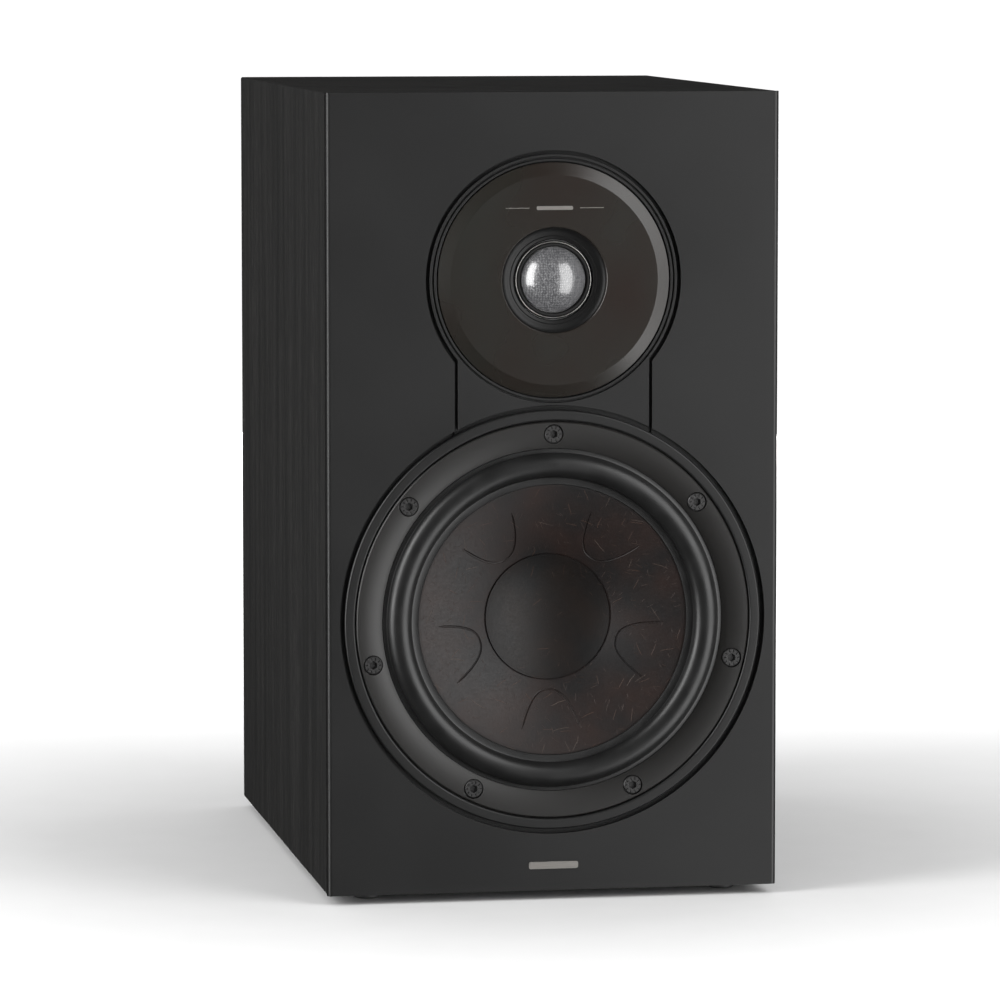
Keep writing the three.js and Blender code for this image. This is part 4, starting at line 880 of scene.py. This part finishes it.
dome = turned("tweeter_dome_cloth", [
    *dome_front, *((r * 0.995, d + DOME_CLOTH) for r, d in reversed(dome_front))
], tweeter, 96)
smooth(dome, 40)

weave, weave_tree, weave_shader = material(
    "coated_dome_cloth", "#4a4b4d", Coat_Weight=0.56, Coat_Roughness=0.1, Coat_IOR=1.8,
    Specular_IOR_Level=0.9,
)
thread_place = node(weave_tree, "ShaderNodeTexCoord", out="Object")
warp, weft = (
    node(weave_tree, "ShaderNodeTexWave", {
        "Vector": thread_place, "Scale": 1000 / THREAD * pi / 20, "Distortion": 7, "Detail": 2,
        "Detail Scale": 3,
    }, "Fac", wave_type="BANDS", bands_direction=way) for way in "XZ"
)
cloth = node(weave_tree, "ShaderNodeMath", {0: warp, 1: weft}, operation="MULTIPLY")
node(weave_tree, "ShaderNodeMix", {
    0: cloth, 6: linear("#38383a"), 7: linear("#747475"),
}, 2, weave_shader.inputs["Base Color"], data_type="RGBA")
node(weave_tree, "ShaderNodeMapRange", {
    "Value": cloth, "To Min": 0.33, "To Max": 0.24,
}, into=weave_shader.inputs["Roughness"])
node(weave_tree, "ShaderNodeBump", {
    "Height": cloth, "Distance": 0.05 / 1000, "Strength": 0.6,
}, into=weave_shader.inputs["Normal"])
wear(dome, weave)
rides(dome, "tweeter_moving", "dome_cloth", "tweeter_dome")

small_roll = turned("tweeter_surround_rubber", [
    (ROLL_OUT, TWEETER_FOOT), (ROLL_EDGE, TWEETER_FOOT),
    *arc(ROLL_CREST, TWEETER_FOOT, CREST_HALF, CREST_HEIGHT, 0, -180, 12), (ROLL_IN, TWEETER_FOOT),
    (ROLL_IN, TWEETER_SEAT), (ROLL_OUT, TWEETER_SEAT),
], tweeter, 96)
smooth(small_roll, 50)
# The small roll is softer and duller than the large one.
soft_roll = mottled(
    "doped_cloth_roll", ("#0a0a0a", "#111111"), 0.5, (0.66, 0.74), (0.5, 0.01, 0.4),
    Specular_IOR_Level=0.3,
)
wear(small_roll, soft_roll)
flexes(small_roll)
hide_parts("tweeter_surround")

bright_ring = turned("tweeter_throat_ring", [
    *arc(RING_MIDDLE, RING_DEPTH, RING_WIRE, RING_WIRE, 0, 330, 11)
], tweeter, 128)
smooth(bright_ring, 60)
# Stainless steel, polished: bright, with faint turning lines.
polished = mottled(
    "polished_steel", ("#9d9b98", "#adaba8"), 0.8, (0.3, 0.4), (0.8, 0.002, 0.2), (1, 8, 1),
    Metallic=1.0,
)
wear(bright_ring, polished)
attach(bright_ring, "root")

# ------------------------------------------------------------------ plain badges
# Two small blank badges of satin aluminium, stuck on: a bar low on the baffle, and a short bar
# between two hairlines on the tweeter's plate.
HAIRLINE_X, PLATE_BADGE_Z = 16.4, 299.8
BADGES = {                                 # middle x and z, width, height, back depth, thickness
    "baffle_badge": (0, 11.2, 22, 3.2, 0.0, 0.35),
    "plate_badge": (0, PLATE_BADGE_Z, 16, 1.7, PLATE_FRONT, 0.15),
    "plate_hairline_left": (-HAIRLINE_X, PLATE_BADGE_Z, 10.5, 0.3, PLATE_FRONT, 0.08),
    "plate_hairline_right": (HAIRLINE_X, PLATE_BADGE_Z, 10.5, 0.3, PLATE_FRONT, 0.08),
}
satin = mottled(
    "satin_aluminium", ("#7d7a76", "#9b9894"), 0.12, (0.42, 0.48), (0.12, 0.01, 0.3), (40, 1, 1), 2,
    Metallic=1.0,
)
for badge_name, (x, z, width, height, back, thickness) in BADGES.items():
    badge = block(
        badge_name, (x - width / 2, back - thickness, z - height / 2),
        (x + width / 2, back, z + height / 2),
    )
    round_cornered(badge, height * 0.3, 4)
    softened(badge, min(0.06, height / 8), 2)
    wear(badge, satin)
    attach(badge, "root")

# ------------------------------------------------------------------ feet
# Four stick-on bumpers of moulded rubber, one near each corner of the underside. They keep the
# box off its shelf and stop it from sliding.
FOOT_RADIUS, FOOT_HEIGHT, FOOT_EDGE = 6.2, 4.3, 0.9
FOOT_TOP, FOOT_RIM, FOOT_STEP = 0.3, 1.2, 0.5
FEET = {
    "foot_front_left": (-79.8, 22), "foot_front_right": (79.8, 22),
    "foot_rear_right": (79.8, 270), "foot_rear_left": (-79.8, 270),
}
# Polyurethane rubber: dull black, with a slight mottle.
bumper = mottled("bumper_rubber", ("#131313", "#1c1c1c"), 1.2, (0.56, 0.64), (1.2, 0.03, 0.5))
for foot_name, (x, y) in FEET.items():
    foot = turned(foot_name + "_bumper", [
        (0, FOOT_TOP), (FOOT_RADIUS, FOOT_TOP), (FOOT_RADIUS, FOOT_RIM),
        (FOOT_RADIUS - FOOT_STEP, FOOT_RIM + 0.4),
        *arc(
            FOOT_RADIUS - FOOT_STEP - FOOT_EDGE, FOOT_HEIGHT - FOOT_EDGE, FOOT_EDGE, FOOT_EDGE, 0, 90, 5
        ), (0, FOOT_HEIGHT),
    ], at(x, y, 0), 48, (0, 0, -1))
    smooth(foot, 40)
    wear(foot, bumper)
    rides(foot, "root", "foot_rubber", foot_name)

# ------------------------------------------------------------------ reflex port
# One moulding of black ABS: a flared mouth with a flange outside and a plain tube inside,
# pushed into the rear panel.
PORT_BORE, PORT_WALL, PORT_LENGTH = 24.0, 2.5, 120.0
PORT_FLANGE, PORT_LIP, PORT_EDGE, FLARE = 37.0, 2.5, 0.9, 7.0
COLLAR, COLLAR_BACK, PORT_SEAT = 31.8, -14.0, 0.3
port = turned("port_tube_moulded", [
    (PORT_FLANGE, 0), (PORT_FLANGE, PORT_LIP - PORT_EDGE),
    *arc(PORT_FLANGE - PORT_EDGE, PORT_LIP - PORT_EDGE, PORT_EDGE, PORT_EDGE, 0, 90, 4),
    *arc(PORT_BORE + FLARE, PORT_LIP - 2 * FLARE, FLARE, 2 * FLARE, 90, 180, 18),
    (PORT_BORE, -PORT_LENGTH), (PORT_BORE + PORT_WALL, -PORT_LENGTH),
    (PORT_BORE + PORT_WALL, COLLAR_BACK), (COLLAR, COLLAR_BACK), (COLLAR, 0),
], at(0, DEPTH + PORT_SEAT, PORT_Z), 128)
smooth(port, 35)
# ABS from a lightly etched mould: satin black.
abs_black = mottled(
    "moulded_black_abs", ("#1a1a1b", "#232324"), 0.45, (0.36, 0.5), (0.45, 0.03, 0.6)
)
wear(port, abs_black)
rides(port, "root", "black_plastic", "port_tube")

# ------------------------------------------------------------------ terminal cup
# A moulded ABS cup let into the rear panel and held by four crosshead screws. The two binding
# posts stand in its recess, clear of the wall behind.
CUP_FLANGE_SIZE, CUP_BODY, CUP_RECESS_SIZE = (92, 72), (66, 46), (60, 40)
CUP_FLANGE_FRONT, CUP_FACE, CUP_FLOOR, CUP_WALL = 292.3, 295.3, 280.3, 3
FLANGE_CORNERS, RECESS_CORNERS = 5, 3
POST_X, POST_HOLE = 16, 3.3


def slab(name, size, front, back):
    """A block centred on the terminals."""
    return block(
        name, (-size[0] / 2, front, CUP_Z - size[1] / 2), (size[0] / 2, back, CUP_Z + size[1] / 2)
    )


cup = slab("terminal_cup_moulded", CUP_FLANGE_SIZE, CUP_FLANGE_FRONT, CUP_FACE)
round_cornered(cup, FLANGE_CORNERS, 6)
carved(cup, slab("cup_body", CUP_BODY, CUP_FLOOR - CUP_WALL, CUP_FACE - PAST), "UNION")
recess = slab("cup_recess", CUP_RECESS_SIZE, CUP_FLOOR, CUP_FACE + PAST)
carved(cup, round_cornered(recess, RECESS_CORNERS, 6))
for side in (-1, 1):
    carved(cup, rod(
        POST_HOLE, CUP_FLOOR - CUP_WALL - PAST, CUP_FLOOR + PAST, side * POST_X, CUP_Z, 32
    ))
for x, z in CUP_SCREWS:
    carved(cup, rod(
        CUP_SCREW_HOLE, CUP_FLANGE_FRONT - PAST, CUP_FACE + PAST, x, CUP_Z + z, 24
    ))
softened(cup, 0.5)
wear(cup, abs_black)
rides(cup, "root", "black_plastic", "terminal_cup")

CUP_SCREW_FRONT, CUP_SCREW_HEIGHT, CUP_SCREW_RADIUS = 295.6, 1.8, 3.4
CUP_SHANK_RADIUS, CUP_SHANK_LENGTH, CUP_SCREW_POINT = 1.6, 12.5, 1.5
CROSS_LENGTH, CROSS_WIDTH, CROSS_FLOOR = 3.4, 0.8, 0.7
cup_x, cup_z = CUP_SCREWS[0]
pan = turned("pan_head", [
    (0, CUP_SCREW_FRONT + CUP_SCREW_HEIGHT),
    *arc(0, CUP_SCREW_FRONT, CUP_SCREW_RADIUS, CUP_SCREW_HEIGHT, 75, 0, 6),
    (CUP_SHANK_RADIUS, CUP_SCREW_FRONT), (CUP_SHANK_RADIUS, CUP_SCREW_FRONT - CUP_SHANK_LENGTH),
    (0, CUP_SCREW_FRONT - CUP_SHANK_LENGTH - CUP_SCREW_POINT),
], at(cup_x, 0, CUP_Z + cup_z), 32)
for wide, tall in ((CROSS_LENGTH, CROSS_WIDTH), (CROSS_WIDTH, CROSS_LENGTH)):
    carved(pan, block(
        "cross", (cup_x - wide / 2, CUP_SCREW_FRONT + CROSS_FLOOR, CUP_Z + cup_z - tall / 2),
        (cup_x + wide / 2, CUP_SCREW_FRONT + 3, CUP_Z + cup_z + tall / 2),
    ))
smooth(pan, 35)
wear(pan, oxide)
# The record counts the screws from the lower left, round to the upper left.
for i, (x, z) in enumerate(((-40, -30), (40, -30), (40, 30), (-40, 30)), 1):
    driven(pan, f"terminal_screw_{i}", x - cup_x, z - cup_z)
bpy.data.objects.remove(pan)

# ------------------------------------------------------------------ binding posts
# Gold-plated brass posts, bored out at the end for a plug, with a loose washer each
# and a fluted thumb nut moulded in red or in black.
POST_RADIUS, POST_TAIL, POST_END = 3.0, 263.3, 301.6
NUT_RADIUS, NUT_FRONT, NUT_BACK = 5.5, 273.0, 277.0
POST_COLLAR, POST_COLLAR_FRONT, POST_COLLAR_BACK = 6.5, 280.6, 283.3
PLUG_RADIUS, PLUG_DEPTH = 2.0, 14.0
WASHER_FRONT, WASHER_BACK, WASHER_RADIUS = 283.6, 284.8, 6.8
KNOB_FRONT, KNOB_BACK, KNOB_RADIUS, KNOB_BORE = 285.1, 301.1, 7.5, 3.3
KNOB_DISH = (4.6, 4.2, 0.6)                # outer and inner radius, and depth
FLUTES, FLUTE_RADIUS, FLUTE_DEPTH, FLUTE_START = 12, 1.3, 0.7, 3
# Gold plate over brass, from a lathe: bright yellow with fine rings.
gold = mottled(
    "gold_plated_brass", ("#cf9f42", "#e6bd63"), 0.3, (0.2, 0.34), (0.3, 0.002, 0.2),
    (12, 1, 12), 2, Metallic=1.0,
)
KNOBS = {                                  # side, two colours of the acrylic, slot
    "red": (1, ("#8c100f", "#a81a16"), "red_plastic"),
    "black": (-1, ("#111112", "#19191a"), "black_plastic"),
}
for colour, (side, tones, slot_name) in KNOBS.items():
    x = side * POST_X
    centre = at(x, 0, CUP_Z)
    post = turned(colour + "_post_plated", [
        (0, POST_TAIL), (POST_RADIUS, POST_TAIL), (POST_RADIUS, NUT_FRONT), (NUT_RADIUS, NUT_FRONT),
        (NUT_RADIUS, NUT_BACK), (POST_RADIUS, NUT_BACK), (POST_RADIUS, POST_COLLAR_FRONT),
        (POST_COLLAR, POST_COLLAR_FRONT), (POST_COLLAR, POST_COLLAR_BACK),
        (POST_RADIUS, POST_COLLAR_BACK), (POST_RADIUS, POST_END), (PLUG_RADIUS, POST_END),
        (PLUG_RADIUS, POST_END - PLUG_DEPTH), (0, POST_END - PLUG_DEPTH),
    ], centre, 64)
    softened(post, 0.2, 2)
    wear(post, gold)
    rides(post, "root", "gold_plate", colour + "_post")

    washer = turned(colour + "_washer_plated", [
        (KNOB_BORE, WASHER_FRONT), (WASHER_RADIUS, WASHER_FRONT), (WASHER_RADIUS, WASHER_BACK),
        (KNOB_BORE, WASHER_BACK),
    ], centre, 64)
    softened(washer, 0.2, 2)
    wear(washer, gold)
    rides(washer, colour + "_washer", "gold_plate", colour + "_washer")

    knob = turned(colour + "_knob_fluted", [
        (KNOB_BORE, KNOB_FRONT), (KNOB_RADIUS - 0.3, KNOB_FRONT), (KNOB_RADIUS, KNOB_FRONT + 0.3),
        (KNOB_RADIUS, KNOB_BACK - 1.0), (KNOB_RADIUS - 1.0, KNOB_BACK), (KNOB_DISH[0], KNOB_BACK),
        (KNOB_DISH[1], KNOB_BACK - KNOB_DISH[2]), (KNOB_BORE, KNOB_BACK - KNOB_DISH[2]),
    ], centre, 72)
    for i in range(FLUTES):
        turn = i * tau / FLUTES
        reach = KNOB_RADIUS + FLUTE_RADIUS - FLUTE_DEPTH
        carved(knob, rod(
            FLUTE_RADIUS, KNOB_FRONT + FLUTE_START, KNOB_BACK + PAST, x + reach * cos(turn),
            CUP_Z + reach * sin(turn), 16,
        ))
    softened(knob, 0.15, 2, 40)
    wear(knob, mottled(
        f"glossy_{colour}_acrylic", tones, 3, (0.18, 0.3), (3, 0.005, 0.2), detail=2
    ))
    rides(knob, colour + "_knob", slot_name, colour + "_knob")

# ------------------------------------------------------------------ spider
# A disc of woven cotton, corrugated and cured with resin, glued to the coil's former inside and to a
# ledge of the basket outside.
SPIDER_IN, SPIDER_FRONT, SPIDER_CLOTH, SPIDER_WAVE = 16.7, 35.0, 0.6, 1.4
SPIDER_WAVES, YARN_BANDS = 6, 190
spider_out = spider_seat - 0.3
front_run = [
    (SPIDER_IN + (SPIDER_LEDGE_IN - SPIDER_IN - 0.5) * i / 48,
     SPIDER_FRONT - SPIDER_WAVE * (0.5 - 0.5 * cos(tau * SPIDER_WAVES / 2 * i / 48)))
    for i in range(49)
]
spider = turned("woofer_spider_cloth", [
    *front_run, (spider_out, SPIDER_FRONT), (spider_out, SPIDER_FRONT + SPIDER_CLOTH),
    *((r, d + SPIDER_CLOTH) for r, d in reversed(front_run)),
], woofer, 96)
smooth(spider, 50)
cotton, cotton_tree, cotton_shader = material("resin_cured_cotton", "#b3924a", Roughness=0.85)
cotton_place = node(cotton_tree, "ShaderNodeTexCoord", out="Object")
yarns = [
    node(cotton_tree, "ShaderNodeTexWave", {
        "Vector": cotton_place, "Scale": YARN_BANDS, "Distortion": 0.5,
    }, "Fac", wave_type="BANDS", bands_direction=way) for way in "XZ"
]
crossed = node(cotton_tree, "ShaderNodeMath", {0: yarns[0], 1: yarns[1]}, operation="ADD")
crossed_share = node(cotton_tree, "ShaderNodeMapRange", {"Value": crossed, "From Max": 2})
node(cotton_tree, "ShaderNodeMix", {
    0: crossed_share, 6: linear("#8d6f33"), 7: linear("#c9a85c"),
}, 2, cotton_shader.inputs["Base Color"], data_type="RGBA")
node(cotton_tree, "ShaderNodeBump", {
    "Height": crossed, "Distance": 0.1 / 1000, "Strength": 0.6,
}, into=cotton_shader.inputs["Normal"])
wear(spider, cotton)
flexes(spider)
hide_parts("woofer_spider")

# ------------------------------------------------------------------ wadding
# A thick quilt of polyester fibre, stapled along both sides and the top behind the brace. It
# takes the ring out of the box, and its face is soft and lumpy.
WADDING_VOXEL, LUMP_SIZE, LUMP_HEIGHT = 0.005, 0.03, 0.003       # metres
quilt = copied(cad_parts["acoustic_wadding"], "acoustic_wadding_fleece")
for key in list(quilt.keys()):
    del quilt[key]
quilt.parent = None
bpy.ops.object.mode_set(mode="EDIT")
bpy.ops.mesh.select_all(action="SELECT")
bpy.ops.mesh.remove_doubles(threshold=0.00001)
bpy.ops.object.mode_set(mode="OBJECT")
applied(quilt, "REMESH", mode="VOXEL", voxel_size=WADDING_VOXEL)
applied(quilt, "SMOOTH", factor=0.8, iterations=8)
lumps = bpy.data.textures.new("fleece_lumps", "CLOUDS")
lumps.noise_scale = LUMP_SIZE
applied(quilt, "DISPLACE", texture=lumps, strength=LUMP_HEIGHT, mid_level=0.9)
applied(quilt, "SUBSURF", levels=1, render_levels=1)
smooth(quilt, 80)
fleece = mottled(
    "polyester_fleece", ("#c9c7bf", "#e9e7e1"), 1.5, (0.92, 0.98), (1.5, 0.6, 0.7), (1, 6, 1), 5,
    Sheen_Weight=0.3,
)
wear(quilt, fleece)
rides(quilt, "root", "wadding_felt", "acoustic_wadding")

# ------------------------------------------------------------------ parts inside the box
# The brace, motors, coils, crossover and leads sit inside the closed cabinet, in plain
# workshop finishes.
INSIDE = {                                 # two colours, metallic, roughness, grain in mm, nodes
    "raw_fibreboard": ("#7c5c3a", "#9c7850", 0.0, 0.85, 1.2, ["window_brace"]),
    "zinc_plated_steel": ("#98989a", "#b8b8b6", 1.0, 0.35, 2.0, [
        "woofer_top_plate", "woofer_yoke", "tweeter_top_plate", "tweeter_yoke"]),
    "sintered_ferrite": ("#26272a", "#35363a", 0.0, 0.6, 0.8, ["woofer_magnet", "tweeter_magnet"]),
    "enamelled_copper": ("#9a5028", "#c47a48", 1.0, 0.35, 0.5, [
        "woofer_voice_coil", "tweeter_voice_coil", "woofer_inductor", "tweeter_inductor"]),
    "glass_epoxy_board": ("#24503a", "#2f6547", 0.0, 0.4, 0.6, ["crossover_board"]),
    "polyester_film_wrap": ("#7c261c", "#96362a", 0.0, 0.35, 5.0, [
        "capacitor_large", "capacitor_small"]),
    "white_cement_ceramic": ("#c9c5b8", "#dedacf", 0.0, 0.75, 1.0, ["power_resistor"]),
    "phenolic_block": ("#1b1b1c", "#262627", 0.0, 0.45, 0.5, ["woofer_terminal_block"]),
    "red_pvc_insulation": ("#8c1f1b", "#a62b26", 0.0, 0.4, 2.0, ["woofer_lead", "input_lead_red"]),
    "black_pvc_insulation": ("#151516", "#202021", 0.0, 0.4, 2.0, [
        "tweeter_lead", "input_lead_black"]),
}
for finish, (low, high, metallic, roughness, size, names) in INSIDE.items():
    made = mottled(
        finish, (low, high), size, (roughness - 0.06, roughness + 0.06), (size, 0.03, 0.4),
        Metallic=metallic,
    )
    for name in names:
        wear(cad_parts[name], made)
